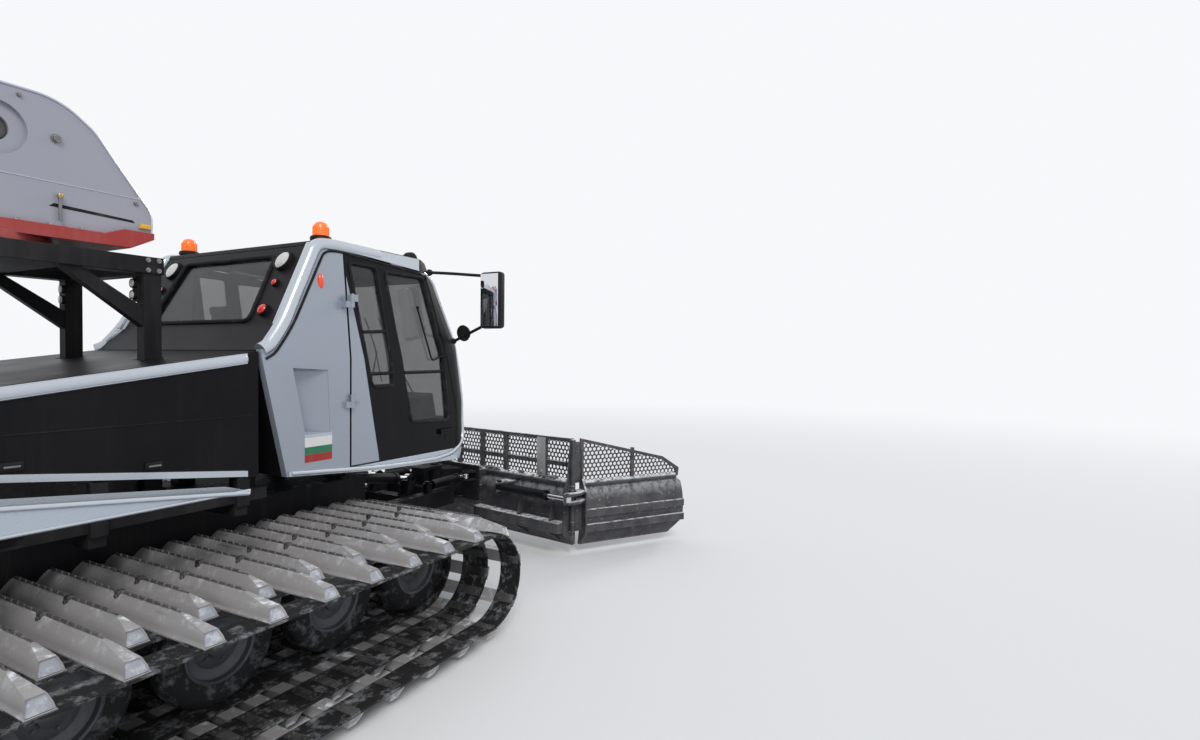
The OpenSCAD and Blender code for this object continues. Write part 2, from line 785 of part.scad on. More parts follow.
// columns: side place, height, radius of the lamps on the cab's rear posts
REAR_LAMPS = [[665, 2632, 78], [684, 2472, 30], [710, 2275, 46]];
roof_lamp_x = 1790;
roof_lamp_y = [-640, -320, 320, 640];
head_lamp_y = [-700, -520, 520, 700];
module lamps() {
  color(silver) {
    both_sides() for (l = REAR_LAMPS) on_rear(l[0], l[1]) cylinder(h = 32, r = l[2]);
    difference() {
      union() {
        for (y = roof_lamp_y) translate([roof_lamp_x, y, roof_cut(roof_lamp_x) + 78]) {
          translate([-20, -10, -30]) cube([40, 20, 64]);
          translate([-38, 0, 90]) rotate([0, 90, 0]) cylinder(h = 80, r = 62);
        }
        for (y = head_lamp_y)
          translate([cab_nose_x - 30, y, 1310]) rotate([0, 90, 0]) cylinder(h = 62, r = 72);
      }
      grown_cab();
    }
  }
}

// Engine bay
cover_front = 162;
cover_half_w = cab_half_w - 15;
cover_front_top = 1998;
cover_rear_top = 1700;
cover_low_front = 1210;
cover_low_rear = 1512;
cover_l = cover_front - cover_rear;
function cover_low(x) = cover_low_front + (cover_front - x) * (cover_low_rear - cover_low_front) / cover_l;
function cover_top(x) = cover_front_top + (cover_front - x) * (cover_rear_top - cover_front_top) / cover_l;
cover_end = cover_front - 6;
COVER = [
  [cover_rear, cover_low_rear], [cover_end, cover_low(cover_end)], [cover_end, cover_top(cover_end)],
  [cover_rear + 120, cover_top(cover_rear + 120)], [cover_rear, cover_low_rear + 98]
];
module engine_cover() {
  color(black) {
    difference() {
      across(-cover_half_w, cover_half_w) polygon(COVER);
      across(-cover_half_w + cover_t, cover_half_w - cover_t) polygon([
        [cover_rear + cover_t, 900], [cover_end - cover_t, 900],
        [cover_end - cover_t, cover_top(cover_end) - cover_t],
        [cover_rear + 120, cover_top(cover_rear + 120) - cover_t],
        [cover_rear + cover_t, cover_low_rear + 88 - cover_t]
      ]);
      for (z = [1530 : 12 : 1602]) box(cover_rear - 10, cover_rear + cover_t + 10, -620, 620, z, z + 5);
      for (p = PORTAL_FEET) box(p[0] - 70, p[0] + 70, p[1] - 60, p[1] + 60, 1300, 2200);
      for (p = PORTAL_FEET) box(p[0] - 70, p[0] + 70, -p[1] - 60, -p[1] + 60, 1300, 2200);
    }
  }
}
// Bright trim: tubes down the cab's rear corners, strips along its roof and sill and the cover
trim_t = 12;
trim_r = 45;
module cab_strip(outline) {
  difference() {
    intersection() {
      cab_front_view(-trim_t);
      across(0, 1500) polygon(outline);
    }
    cab_front_view(-seat);
  }
}
module trim_side() {
  difference() {
    bar([rear_face(2160), skin_y(2160) - 38, 2160], [rear_face(2736), skin_y(2736) - 38, 2736], trim_r);
    grown_cab();
  }
  cab_strip([
    [680, roof_cut(680) + 8], [roof_front[0] - 230, roof_cut(roof_front[0] - 230) + 8],
    [cab_nose_x - 600, roof_z - 22], [794, roof_z - 10], [680, roof_z - 26]
  ]);
  sill = [for (i = [0:2]) CAB_SIDE[i] - [i == 2 ? 60 : 0, 0]];
  cab_strip([
    sill[0] + [8, 2], sill[1] + [0, 2], sill[2] + [0, 2],
    sill[2] + [0, 40], sill[1] + [0, 35], sill[0] + [8, 35]
  ]);
  low = [cover_rear + 60, 80];
  across(cover_half_w + seat, cover_half_w + trim_t) {
    polygon([
      [low[0], cover_low(low[0]) + 3], [low[1], cover_low(low[1]) + 3],
      [low[1], cover_low(low[1]) + 40], [low[0], cover_low(low[0]) + 40]
    ]);
    polygon([
      [low[0] + 100, cover_top(low[0] + 100) - 66], [low[1], cover_top(low[1]) - 66],
      [low[1], cover_top(low[1]) - 3], [low[0] + 100, cover_top(low[0] + 100) - 3]
    ]);
  }
}
module trim() color(silver) both_sides() trim_side();
engine_x = -1250;
module engine() {
  color(steel) box(engine_x, engine_x + engine_l, -330, 330, tub_top + seat, 1640);
}

// Deck: the frame over the tub that carries cab, cover and fenders
deck_z = 1236;
rail_in = 880;
rail_out = 960;
rail_z = tub_top + 80;
rail_top = tub_top + 150;
function cab_under(x) = lookup(x, [CAB_SIDE[0], CAB_SIDE[1], CAB_SIDE[2]]);
module deck() {
  color(black) {
    for (x = [-2650, -1560, 60]) box(x - 40, x + 40, -rail_out, rail_out, tub_top + seat, rail_z);
    both_sides() {
      box(-740, -660, 345, rail_out, tub_top + seat, rail_z);
      box(-2740, cab_rear_x + 60, rail_in, rail_out, rail_z, rail_top);
      box(-2740, -2020, rail_in, rail_out, rail_top, deck_z - 30);
      for (x = [-1560, -700, 60])
        box(x - 40, x + 40, cover_half_w - 40, cover_half_w, tub_top + 60, cover_low(x + 40) - seat);
      for (x = [-1560, -700, 60])
        box(x - 40, x + 40, rail_out - 20, cover_half_w, tub_top + 60, rail_top);
      for (x = [460, 1250]) box(x - 60, x + 60, 300, 420, tub_top + seat, cab_under(x + 60) - seat);
    }
    box(-2840, cover_rear - 10, -1200, 1200, deck_z - 30, deck_z);
  }
}
// Fenders: long wedges over the tracks
fender_tip_x = -234;
fender_low = 1248;
fender_top_w = 230;
fender_rear = -2840;
fender_rise = 0.1236;
function fender_top(x) = fender_low + (fender_tip_x - x) * fender_rise;
module fender_side() {
  difference() {
    across(fender_half_w - fender_top_w, fender_half_w) polygon([
      [fender_rear, fender_low], [fender_tip_x, fender_low], [fender_rear, fender_top(fender_rear)]
    ]);
    across(fender_half_w - fender_top_w - 10, fender_half_w - 16) polygon([
      [fender_rear - 10, fender_low - 10], [fender_tip_x - 90, fender_low - 10],
      [fender_tip_x - 90, fender_top(fender_tip_x - 90) - 8],
      [fender_rear - 10, fender_top(fender_rear - 10) - 16]
    ]);
  }
  y_in = fender_half_w - 16;
  for (x = [-2600, -1900, -1200]) along(x - 12, x + 12) polygon([
    [rail_out + seat, tub_top + 90], [y_in, fender_low - 40], [y_in + 4, fender_low + 42],
    [y_in - 44, fender_low + 42], [y_in - 84, fender_low - 8], [rail_out + seat, rail_top]
  ]);
}
module fenders() color(panel_grey) both_sides() fender_side();

// Portal frame: four legs and a ring beam that carry the winch
// columns: x, y of each foot on the left side
PORTAL_FEET = [[-200, 470], [-1820, 470]];
portal_leg = 100;
portal_beam = 100;
portal_half_w = 520;
module portal_frame() {
  low = portal_top - portal_beam;
  color(black) {
    both_sides() for (p = PORTAL_FEET) {
      box(p[0] - portal_leg / 2, p[0] + portal_leg / 2, p[1] - 40, p[1] + 40, tub_top + seat, low);
      box(p[0] - 90, p[0] + 90, p[1] - 80, p[1] + 80, tub_top + seat, tub_top + 25);
    }
    difference() {
      box(-1880, -140, -portal_half_w, portal_half_w, low, portal_top);
      for (x = [[-1780, -1500], [-600, -240]]) box(x[0], x[1], -400, 400, low - 1, portal_top + 1);
      translate([slew_x, 0, low - 1]) cylinder(h = portal_beam + 2, r = ring_r * 0.55);
    }
    both_sides() for (s = [1, -1]) {
      foot = s > 0 ? PORTAL_FEET[0][0] : PORTAL_FEET[1][0];
      across(PORTAL_FEET[0][1] - 30, PORTAL_FEET[0][1] + 30) polygon([
        [foot - s * 40, 2130], [foot - s * 40, 2250], [foot - s * 360, low + 1], [foot - s * 470, low + 1]
      ]);
    }
  }
}

// Winch
winch_z = portal_top + seat;
base_h = 50;
plate_low = winch_z + base_h;
plate_t = 26;
drum_x = -905;
drum_z = 3140;
hole_r = 140;
drum_flange_r = 320;
PLATE = [
  [-1930, plate_low], [-240, plate_low + 30], [-166, 2723], [-162, 2785], [-172, 2844], [-359, 3098],
  [-459, 3241], [-589, 3338], [-690, 3372], [-1500, 3372], [-1760, 3230], [-1960, 2850]
];
module winch_base() {
  color(red) {
    translate([slew_x, 0, winch_z]) cylinder(h = base_h, r = ring_r, $fn = 64);
    difference() {
      across(-plate_half_w - 45, plate_half_w + 45) polygon([
        [-1900, plate_low - 8], [-300, plate_low - 8], [-170, plate_low + 62],
        [-170, plate_low + 100], [-330, plate_low + 100], [-430, plate_low + 60], [-1900, plate_low + 60]
      ]);
      well_half_w = plate_half_w - plate_t - 10;
      box(-1800, -520, -well_half_w, well_half_w, plate_low + 20, plate_low + 200);
      both_sides() across(plate_half_w - plate_t - seat, plate_half_w + seat) polygon(inset(PLATE, -seat));
    }
  }
}
module winch_plates() {
  color(panel_grey) {
    both_sides() across(plate_half_w - plate_t, plate_half_w) difference() {
      polygon(PLATE);
      translate([drum_x, drum_z]) circle(r = hole_r);
      translate([-642, 3149]) circle(r = 16);
      polygon([[-1760, 2860], [-1500, 2860], [-1500, 2980], [-1720, 2980]]);
    }
    across(-plate_half_w + plate_t, plate_half_w - plate_t) polygon([
      [-204, 2850], [-375, 3088], [-475, 3226], [-588, 3308],
      [-589, 3334], [-461, 3238], [-361, 3096], [-178, 2850]
    ]);
    both_sides() translate([drum_x, plate_half_w - 90, drum_z])
      rotate([-90, 0, 0]) ring(hole_r + 20, 70, 65);
  }
}
module winch_drum() {
  color(steel) {
    axle(drum_x, drum_z, -plate_half_w + 110, plate_half_w - 110, drum_r);
    for (s = [-1, 1]) translate([drum_x, s * (plate_half_w - 125), drum_z]) rotate([90, 0, 0])
      translate([0, 0, -12]) cylinder(h = 24, r = drum_flange_r * 0.72, $fn = 48);
    axle(drum_x, drum_z, -plate_half_w + 40, plate_half_w - 40, 70 - 0.5);
  }
}
// Boom: a tapering box from the plates to the pulley at its tip
boom_tip_x = slew_x - boom_reach;
boom_tip_z = 3330;
boom_half_w = 110;
module winch_boom() {
  color(panel_grey) {
    across(-boom_half_w, boom_half_w) polygon([
      [-1250, 3080], [-1250, 3290], [-1560, 3430], [boom_tip_x + 230, boom_tip_z + 75],
      [boom_tip_x + 230, boom_tip_z - 75], [-1800, 3130]
    ]);
    box(-1500, -1380, -plate_half_w + plate_t, plate_half_w - plate_t, 3100, 3220);
    for (s = [-1, 1]) across(s * 72 - 18, s * 72 + 18) difference() {
      polygon([
        [boom_tip_x + 235, boom_tip_z - 75], [boom_tip_x + 235, boom_tip_z + 75],
        [boom_tip_x, boom_tip_z + 60], [boom_tip_x - 55, boom_tip_z], [boom_tip_x, boom_tip_z - 60]
      ]);
      translate([boom_tip_x, boom_tip_z]) circle(r = 22 + pin_fit);
    }
  }
}
pulley_r = 150;
module boom_pulley() {
  color(steel) {
    translate([boom_tip_x, 0, boom_tip_z]) rotate([90, 0, 0]) rotate_extrude($fn = 48) polygon([
      [0, -22], [pulley_r, -22], [pulley_r, -16], [pulley_r - 26, -7],
      [pulley_r - 26, 7], [pulley_r, 16], [pulley_r, 22], [0, 22]
    ]);
    axle(boom_tip_x, boom_tip_z, -100, 100, 22);
  }
}

// Blade lift. Cylinders in the side view carry their pins across, those in plan carry them upright
barrel_r = 45;
rod_r = 24;
eye_r = 42;
eye_w = 50;
neck_l = 64;
module in_side_plane(p, q, y)
  translate([p[0], y, p[1]]) rotate([0, -atan2(q[1] - p[1], q[0] - p[0]), 0]) children();
module in_plan_plane(p, q, z)
  translate([p[0], p[1], z]) rotate([0, 0, atan2(q[1] - p[1], q[0] - p[0])]) rotate([90, 0, 0]) children();
// Barrel and rod lie along +X with the barrel's eye at the origin
module barrel(shortest) {
  length = shortest - eye_r - 12;
  rotate([90, 0, 0]) translate([0, 0, -eye_w / 2]) ring(eye_r, pin_r + pin_fit, eye_w);
  difference() {
    union() {
      translate([eye_r - 6, 0, 0]) rotate([0, 90, 0]) cylinder(h = neck_l, r = eye_w / 2 - 2);
      translate([neck_l, 0, 0]) rotate([0, 90, 0]) cylinder(h = length - neck_l, r = barrel_r);
      translate([length - 40, 0, 0]) rotate([0, 90, 0]) cylinder(h = 40, r = barrel_r + 7);
    }
    translate([neck_l + 14, 0, 0]) rotate([0, 90, 0]) cylinder(h = length, r = rod_r + seat);
  }
}
module rod(shortest, reach) {
  length = shortest - neck_l - 38;
  translate([reach, 0, 0]) rotate([90, 0, 0]) translate([0, 0, -eye_w / 2]) cylinder(h = eye_w, r = eye_r);
  translate([reach - length, 0, 0]) rotate([0, 90, 0]) cylinder(h = length - eye_r + 8, r = rod_r);
}
function turned(p, c, a) = [
  c[0] + (p[0] - c[0]) * cos(a) - (p[1] - c[1]) * sin(a),
  c[1] + (p[0] - c[0]) * sin(a) + (p[1] - c[1]) * cos(a)
];

lift_axis = [lift_x, lift_z];
lift_up = 20;
lift_cyl_eye = [lift_x + 750, lift_z + 180];
lift_shortest = norm(turned(lift_cyl_eye, lift_axis, lift_up) - lift_cyl_base);
lift_reach = norm(lift_cyl_eye - lift_cyl_base);
head_z0 = lift_z - 164;
head_z1 = lift_z + 166;
king_r = 45;
boss_r = 85;
fork_t = 34;
fork_gap = 10;
cross_x = swivel_x - 190;
cross_low = lift_z - 120;
arm_top = lift_z + 40;
angle_z = arm_top + 65;
angle_base = [lift_x + 830, lift_y];
lug_gap = eye_w + 12;
plate = 20;
module lift_arms() {
  color(black) {
    difference() {
      union() {
        both_sides() across(lift_y - arm_w / 2, lift_y + arm_w / 2) polygon([
          [lift_x - 45, lift_z + 30], [lift_x - 30, lift_z - 45], [lift_x + 30, lift_z - 52],
          [lift_x + 500, cross_low + 5], [cross_x, cross_low], [cross_x, arm_top],
          [lift_x + 550, arm_top], [lift_x + 20, lift_z + 52]
        ]);
        both_sides() axle(lift_x, lift_z, lift_y - arm_w / 2, lift_y + arm_w / 2, 56);
      }
      axle(lift_x, lift_z, -700, 700, pin_r + pin_fit);
    }
    pin_half = arm_w / 2 + lug_t + 20;
    both_sides() axle(lift_x, lift_z, lift_y - pin_half, lift_y + pin_half, pin_r);
    box(cross_x - 150, cross_x, -lift_y, lift_y, cross_low, arm_top);
    box(lift_x + 650, lift_x + 770, -lift_y, lift_y, cross_low + 10, arm_top - 20);
    both_sides() lug_pair(lift_cyl_y, lug_gap) difference() {
      polygon([
        [lift_x + 665, arm_top - 30], [lift_x + 765, arm_top - 30], [lift_cyl_eye[0] + 45, lift_cyl_eye[1]],
        [lift_cyl_eye[0], lift_cyl_eye[1] + 45], [lift_cyl_eye[0] - 45, lift_cyl_eye[1]]
      ]);
      translate(lift_cyl_eye) circle(r = pin_r + pin_fit);
    }
    both_sides() {
      translate([angle_base[0], angle_base[1], arm_top - 1]) cylinder(h = angle_z - arm_top + 46, r = pin_r);
      translate([angle_base[0], angle_base[1], arm_top - 1])
        cylinder(h = angle_z - arm_top - eye_w / 2, r = eye_r);
    }
    // Fork with the swivel pin
    for (z = [head_z0 - fork_gap - fork_t, head_z1 + fork_gap]) {
      translate([swivel_x, 0, z]) cylinder(h = fork_t, r = boss_r);
      box(cross_x - 60, swivel_x, -boss_r, boss_r, z, z + fork_t);
    }
    box(cross_x - 60, cross_x, -boss_r, boss_r, head_z0 - fork_gap - 1, head_z1 + fork_gap + 1);
    translate([swivel_x, 0, head_z0 - 60]) cylinder(h = head_z1 - head_z0 + 120, r = king_r);
  }
}
module lift_barrels() {
  color(steel) both_sides() in_side_plane(lift_cyl_base, lift_cyl_eye, lift_cyl_y) {
    barrel(lift_shortest);
    rotate([90, 0, 0]) cylinder(h = eye_w + 2 * lug_t + 36, r = pin_r, center = true);
  }
}
module lift_rods() {
  color(silver) both_sides() in_side_plane(lift_cyl_base, lift_cyl_eye, lift_cyl_y)
    rod(lift_shortest, lift_reach);
}

// The swivel head and the blade stand turned about the swivel pin.
// Their own lengths start at that pin
module yawed() translate([swivel_x, 0, 0]) rotate([0, 0, -blade_yaw]) children();
module head_tube() {
  translate([0, 0, head_z0]) ring(boss_r, king_r + pin_fit, head_z1 - head_z0);
}
head_plate_x = 235;
head_eye = [150, 330];
tilt_r = 48;
tilt_z = lift_z;
module swivel_head() {
  color(black) yawed() {
    head_tube();
    difference() {
      for (z = [head_z0, head_z1 - plate]) upward(z, z + plate) polygon([
        [0, -boss_r], [head_plate_x, -200], [head_plate_x, 200], [0, boss_r]
      ]);
      translate([0, 0, head_z0 - 10]) cylinder(h = head_z1 - head_z0 + 20, r = boss_r - 8);
    }
    box(head_plate_x, head_plate_x + 25, -430, 430, head_z0, head_z1 + 40);
    translate([head_plate_x + 5, 0, tilt_z]) rotate([0, 90, 0]) cylinder(h = 110, r = tilt_r);
    ear_z = [angle_z - lug_gap / 2 - plate, angle_z + lug_gap / 2];
    both_sides() for (z = ear_z) upward(z, z + plate) difference() {
      polygon([
        [head_plate_x + 1, head_eye[1] - 80], [head_plate_x + 1, head_eye[1] + 80],
        [head_eye[0] - 10, head_eye[1] + 42], [head_eye[0] - 45, head_eye[1]],
        [head_eye[0] - 10, head_eye[1] - 42]
      ]);
      translate(head_eye) circle(r = pin_r + pin_fit);
    }
  }
}
// Angle cylinders from the arms to the head. The yaw at rest turns their rods' eyes
yaw_most = 25;
function eye_at(side, yaw) = turned([swivel_x + head_eye[0], side * head_eye[1]], [swivel_x, 0], yaw);
function base_at(side) = [angle_base[0], side * angle_base[1]];
angle_shortest = norm(eye_at(-1, -yaw_most) - base_at(-1));
module angle_barrel(side) {
  color(steel) in_plan_plane(base_at(side), eye_at(side, -blade_yaw), angle_z) barrel(angle_shortest);
}
module angle_rod(side) {
  color(silver) in_plan_plane(base_at(side), eye_at(side, -blade_yaw), angle_z)
    rod(angle_shortest, norm(eye_at(side, -blade_yaw) - base_at(side)));
}
module angle_barrel_left() angle_barrel(1);
module angle_rod_left() angle_rod(1);
module angle_barrel_right() angle_barrel(-1);
module angle_rod_right() angle_rod(-1);

// Blade. Its curved sheet is an arc, hollow towards the front
blade_low = blade_lift;
blade_top = blade_low + blade_h;
crown = blade_top + mesh_h;
hollow = 90;
sheet_r = (pow(blade_h / 2, 2) + pow(hollow, 2)) / (2 * hollow);
sheet_mid_z = blade_low + blade_h / 2;
sheet_cx = blade_reach - hollow + sheet_r;
function sheet_back(z) = sheet_cx - sqrt(pow(sheet_r + sheet_t, 2) - pow(z - sheet_mid_z, 2));
module sheet_outline() {
  intersection() {
    difference() {
      translate([sheet_cx, sheet_mid_z]) circle(r = sheet_r + sheet_t, $fn = 96);
      translate([sheet_cx, sheet_mid_z]) circle(r = sheet_r, $fn = 96);
    }
    translate([blade_reach - 300, blade_low]) square([320, blade_h]);
  }
}
tube_r = 38;
tube_x = blade_reach - 42;
frame_t = 36;
module edge_outline() {
  polygon([
    [blade_reach - 30, blade_low + 10], [blade_reach + 8, blade_low], [blade_reach + 24, blade_low],
    [blade_reach - 8, blade_low + 120], [blade_reach - 26, blade_low + 118]
  ]);
}
// Uprights of the see-through part. columns: place as a share of the half width, half width
POSTS = [[0.13, 25], [0.38, 25], [0.74, 62]];
wing_axis = [blade_reach - 50, blade_half_w + 45];
wing_cyl_z = blade_top - 95;
wing_cyl_base = [blade_reach - 225, blade_half_w - 815];
back_x = head_plate_x + 35;
rib_y = [230, 900, 1340];
mesh_x = blade_reach - 28;
module mesh_bars() {
  // Lower and upper rails, then the uprights
  across(-blade_half_w, blade_half_w)
    translate([mesh_x - frame_t / 2, crown - frame_t]) square([frame_t, frame_t]);
  across(-blade_half_w, blade_half_w)
    translate([mesh_x - 9, blade_top + mesh_h * 0.38]) square([18, 44]);
  for (s = [-1, 1]) for (p = POSTS) {
    y = s * p[0] * blade_half_w;
    box(mesh_x - frame_t / 2, mesh_x + frame_t / 2, y - p[1], y + p[1], blade_top + 10, crown - 5);
  }
}
module blade() {
  color(black) yawed() {
    across(-blade_half_w, blade_half_w) sheet_outline();
    across(-blade_half_w, blade_half_w) edge_outline();
    axle(tube_x, blade_top + 12, -blade_half_w, blade_half_w, tube_r);
    mesh_bars();
    // Back frame with the tilt bearing
    difference() {
      box(back_x, back_x + 25, -300, 300, blade_low + 130, blade_top + 90);
      translate([back_x - 5, 0, tilt_z]) rotate([0, 90, 0]) cylinder(h = 200, r = tilt_r + 0.05);
    }
    both_sides() for (y = rib_y) across(y - 9, y + 9) polygon([
      [y < 300 ? back_x + 20 : back_x + 60, blade_low + 140],
      [sheet_back(blade_low + 30) - 2, blade_low + 30],
      [sheet_back(sheet_mid_z) + 6, sheet_mid_z], [sheet_back(blade_top - 150) + 4, blade_top - 150],
      [y < 300 ? back_x + 20 : sheet_back(sheet_mid_z) - 40, blade_top - 150]
    ]);
    across(-blade_half_w, blade_half_w) polygon([
      [back_x + 60, blade_low + 150], [sheet_back(blade_low + 150) + 4, blade_low + 150],
      [sheet_back(blade_low + 250) + 4, blade_low + 250], [back_x + 60, blade_low + 250]
    ]);
    both_sides() {
      box(back_x + 20, tube_x, 250, 290, blade_top - 20, blade_top + 30);
      // End plates and the outer knuckles of the wing hinges
      across(blade_half_w - 1, blade_half_w + 16) polygon([
        [blade_reach - 150, blade_low + 140], [blade_reach - 20, blade_low], [blade_reach + 18, blade_low],
        [blade_reach - 6, blade_low + 150], [blade_reach - 6, crown], [mesh_x - frame_t / 2, crown],
        [mesh_x - 60, blade_top + 60], [blade_reach - 150, blade_top - 60]
      ]);
      for (k = KNUCKLES) translate([wing_axis[0], wing_axis[1], k[0]]) {
        cylinder(h = k[1] - k[0], r = 26);
        translate([-26, -45 + 15, 0]) cube([52, 30, k[1] - k[0]]);
      }
      translate([wing_axis[0], wing_axis[1], blade_low + 20]) cylinder(h = blade_h - 40, r = 13);
      // Ears of the wing cylinders
      ear_z = [wing_cyl_z - lug_gap / 2 - plate, wing_cyl_z + lug_gap / 2];
      for (z = ear_z) upward(z, z + plate) difference() {
        polygon([
          [sheet_back(z) + 8, wing_cyl_base[1] - 90], [sheet_back(z) + 8, wing_cyl_base[1] + 90],
          [wing_cyl_base[0], wing_cyl_base[1] + 45], [wing_cyl_base[0] - 45, wing_cyl_base[1]],
          [wing_cyl_base[0], wing_cyl_base[1] - 45]
        ]);
        translate(wing_cyl_base) circle(r = pin_r + pin_fit);
      }
    }
  }
}
// Perforated sheets of the see-through parts. They lie on the front of their frames
sheet_gauge = 5;
hole_pitch = 72;
opening_r = 32;
row_h = hole_pitch * sin(60);
// Staggered six-sided openings between two sides, under an edge that may slope
module openings(y_low, y_high, z_low, top_at_low, top_at_high) {
  rows = floor((max(top_at_low, top_at_high) - z_low) / row_h);
  for (row = [0:rows]) for (y = [y_low + (row % 2) * hole_pitch / 2 : hole_pitch : y_high]) {
    z = z_low + row * row_h;
    if (z < lookup(y, [[y_low, top_at_low], [y_high, top_at_high]]))
      translate([y, z]) rotate(30) circle(r = opening_r, $fn = 6);
  }
}
module blade_mesh() {
  half = blade_half_w - 1 - seat;
  low = blade_top + 35;
  high = crown - 4;
  front = mesh_x + frame_t / 2 + seat;
  color(black) yawed() along(front, front + sheet_gauge) difference() {
    translate([-half, low]) square([2 * half, high - low]);
    openings(-half + 55, half - 45, low + 50, high - 45, high - 45);
  }
}
// columns: lower and upper end of the blade's hinge knuckles
KNUCKLES = [[blade_low + 30, blade_low + 150], [blade_top - 40, blade_top - 8]];

// Wings. Their own frame has the hinge at the origin and the wing along -Y, unfolded
wing_start = 92;
wing_tip = wing_l;
wing_lug = [-181, -81];
wing_frame_t = 28;
module at_right_hinge() translate([wing_axis[0], -wing_axis[1], 0]) rotate([0, 0, wing_fold]) children();
module wing_outline() {
  polygon([
    [-wing_start, blade_low], [-wing_tip + 150, blade_low], [-wing_tip, blade_low + 150],
    [-wing_tip, blade_top - 60], [-wing_tip + 60, blade_top], [-wing_start, blade_top]
  ]);
}
// Its see-through part falls towards the tip, most steeply at the end
WING_MESH = [
  [-wing_start, blade_top - 1], [-wing_start, crown], [-wing_tip + 229, blade_top + 222],
  [-wing_tip + 19, blade_top + 88], [-wing_tip + 30, blade_top - 1]
];
module wing_mesh_frame() {
  difference() {
    polygon(WING_MESH);
    polygon(inset(WING_MESH, 32));
  }
  translate([-wing_tip * 0.55, blade_top - 5]) square([34, mesh_h * 0.74]);
}
module wing_local() {
  dx = -wing_axis[0];
  intersection() {
    translate([dx, 0, 0]) across(-wing_tip, -wing_start) sheet_outline();
    along(-400, 400) wing_outline();
  }
  intersection() {
    translate([dx, 0, 0]) across(-wing_tip, -wing_start) edge_outline();
    along(-400, 400) wing_outline();
  }
  along(mesh_x + dx - wing_frame_t / 2, mesh_x + dx + wing_frame_t / 2) wing_mesh_frame();
  translate([dx, 0, 0]) axle(tube_x, blade_top + 4, -wing_tip + 70, -wing_start, tube_r - 8);
  // Channels along the back
  channel_z = [blade_low + 150, blade_low + 300];
  for (z = channel_z) translate([dx, 0, 0]) across(-wing_tip + 12, -wing_start) polygon([
    [sheet_back(sheet_mid_z) - 34, z], [sheet_back(z) + 5, z], [sheet_back(z + 70) + 5, z + 70],
    [sheet_back(sheet_mid_z) - 34, z + 70]
  ]);
  // Inner end plate, knuckle and lug
  across(-wing_start - 16, -wing_start) polygon([
    [-110, blade_low + 140], [36, blade_low], [68, blade_low], [44, blade_low + 150],
    [44, crown - 5], [2, crown - 5], [-20, blade_top + 60], [-110, blade_top - 60]
  ]);
  knuckle_low = KNUCKLES[0][1] + 3;
  knuckle_high = KNUCKLES[1][0] - 3;
  difference() {
    union() {
      translate([0, 0, knuckle_low]) cylinder(h = knuckle_high - knuckle_low, r = 26);
      translate([-12, -wing_start - 4, knuckle_low]) cube([24, wing_start, knuckle_high - knuckle_low]);
      upward(wing_cyl_z - lug_gap / 2 - plate, wing_cyl_z - lug_gap / 2) wing_lug_outline();
      upward(wing_cyl_z + lug_gap / 2, knuckle_high) wing_lug_outline();
    }
    translate([0, 0, blade_low]) cylinder(h = blade_h, r = 13.05);
    rotate([0, 0, -wing_fold]) translate([wing_lug[0], wing_lug[1], blade_low])
      cylinder(h = blade_h, r = pin_r);
  }
}
module wing_lug_outline() {
  eye = turned(wing_lug, [0, 0], -wing_fold);
  polygon([
    [-15, -26], [-15, -wing_start - 4], [-95, -wing_start - 4], [eye[0] - 20, -10], [eye[0] - 42, eye[1]],
    [eye[0] - 5, eye[1] + 42], [eye[0] + 42, eye[1]], [eye[0] + 36, 60], [-106, 20], [-70, -10]
  ]);
}
module wing_mesh_local() {
  front = mesh_x - wing_axis[0] + wing_frame_t / 2 + seat;
  low = blade_top + 20;
  inner = -wing_start - 16 - seat;
  along(front, front + sheet_gauge) difference() {
    intersection() {
      polygon(WING_MESH);
      translate([-wing_tip, low]) square([wing_tip + inner, mesh_h]);
    }
    openings(-wing_tip + 150, inner - 45, low + 55, blade_top + 120, crown - 62);
  }
}
module wing_side() at_right_hinge() wing_local();
module wing_right() color(black) yawed() wing_side();
module wing_left() color(black) yawed() mirror([0, 1, 0]) wing_side();
module wing_right_mesh() color(black) yawed() at_right_hinge() wing_mesh_local();
module wing_left_mesh() color(black) yawed() mirror([0, 1, 0]) at_right_hinge() wing_mesh_local();
fold_least = 0;
function lug_at(fold) = turned([wing_axis[0] + wing_lug[0], -wing_axis[1] + wing_lug[1]],
  [wing_axis[0], -wing_axis[1]], fold - wing_fold);
wing_base = [wing_cyl_base[0], -wing_cyl_base[1]];
wing_shortest = norm(lug_at(fold_least) - wing_base);
module wing_barrel() in_plan_plane(wing_base, lug_at(wing_fold), wing_cyl_z) {
  barrel(wing_shortest);
  rotate([90, 0, 0]) cylinder(h = eye_w + 2 * plate + 36, r = pin_r, center = true);
}
module wing_rod() in_plan_plane(wing_base, lug_at(wing_fold), wing_cyl_z)
  rod(wing_shortest, norm(lug_at(wing_fold) - wing_base));
module wing_barrel_right() color(steel) yawed() wing_barrel();
module wing_barrel_left() color(steel) yawed() mirror([0, 1, 0]) wing_barrel();
module wing_rod_right() color(silver) yawed() wing_rod();
module wing_rod_left() color(silver) yawed() mirror([0, 1, 0]) wing_rod();

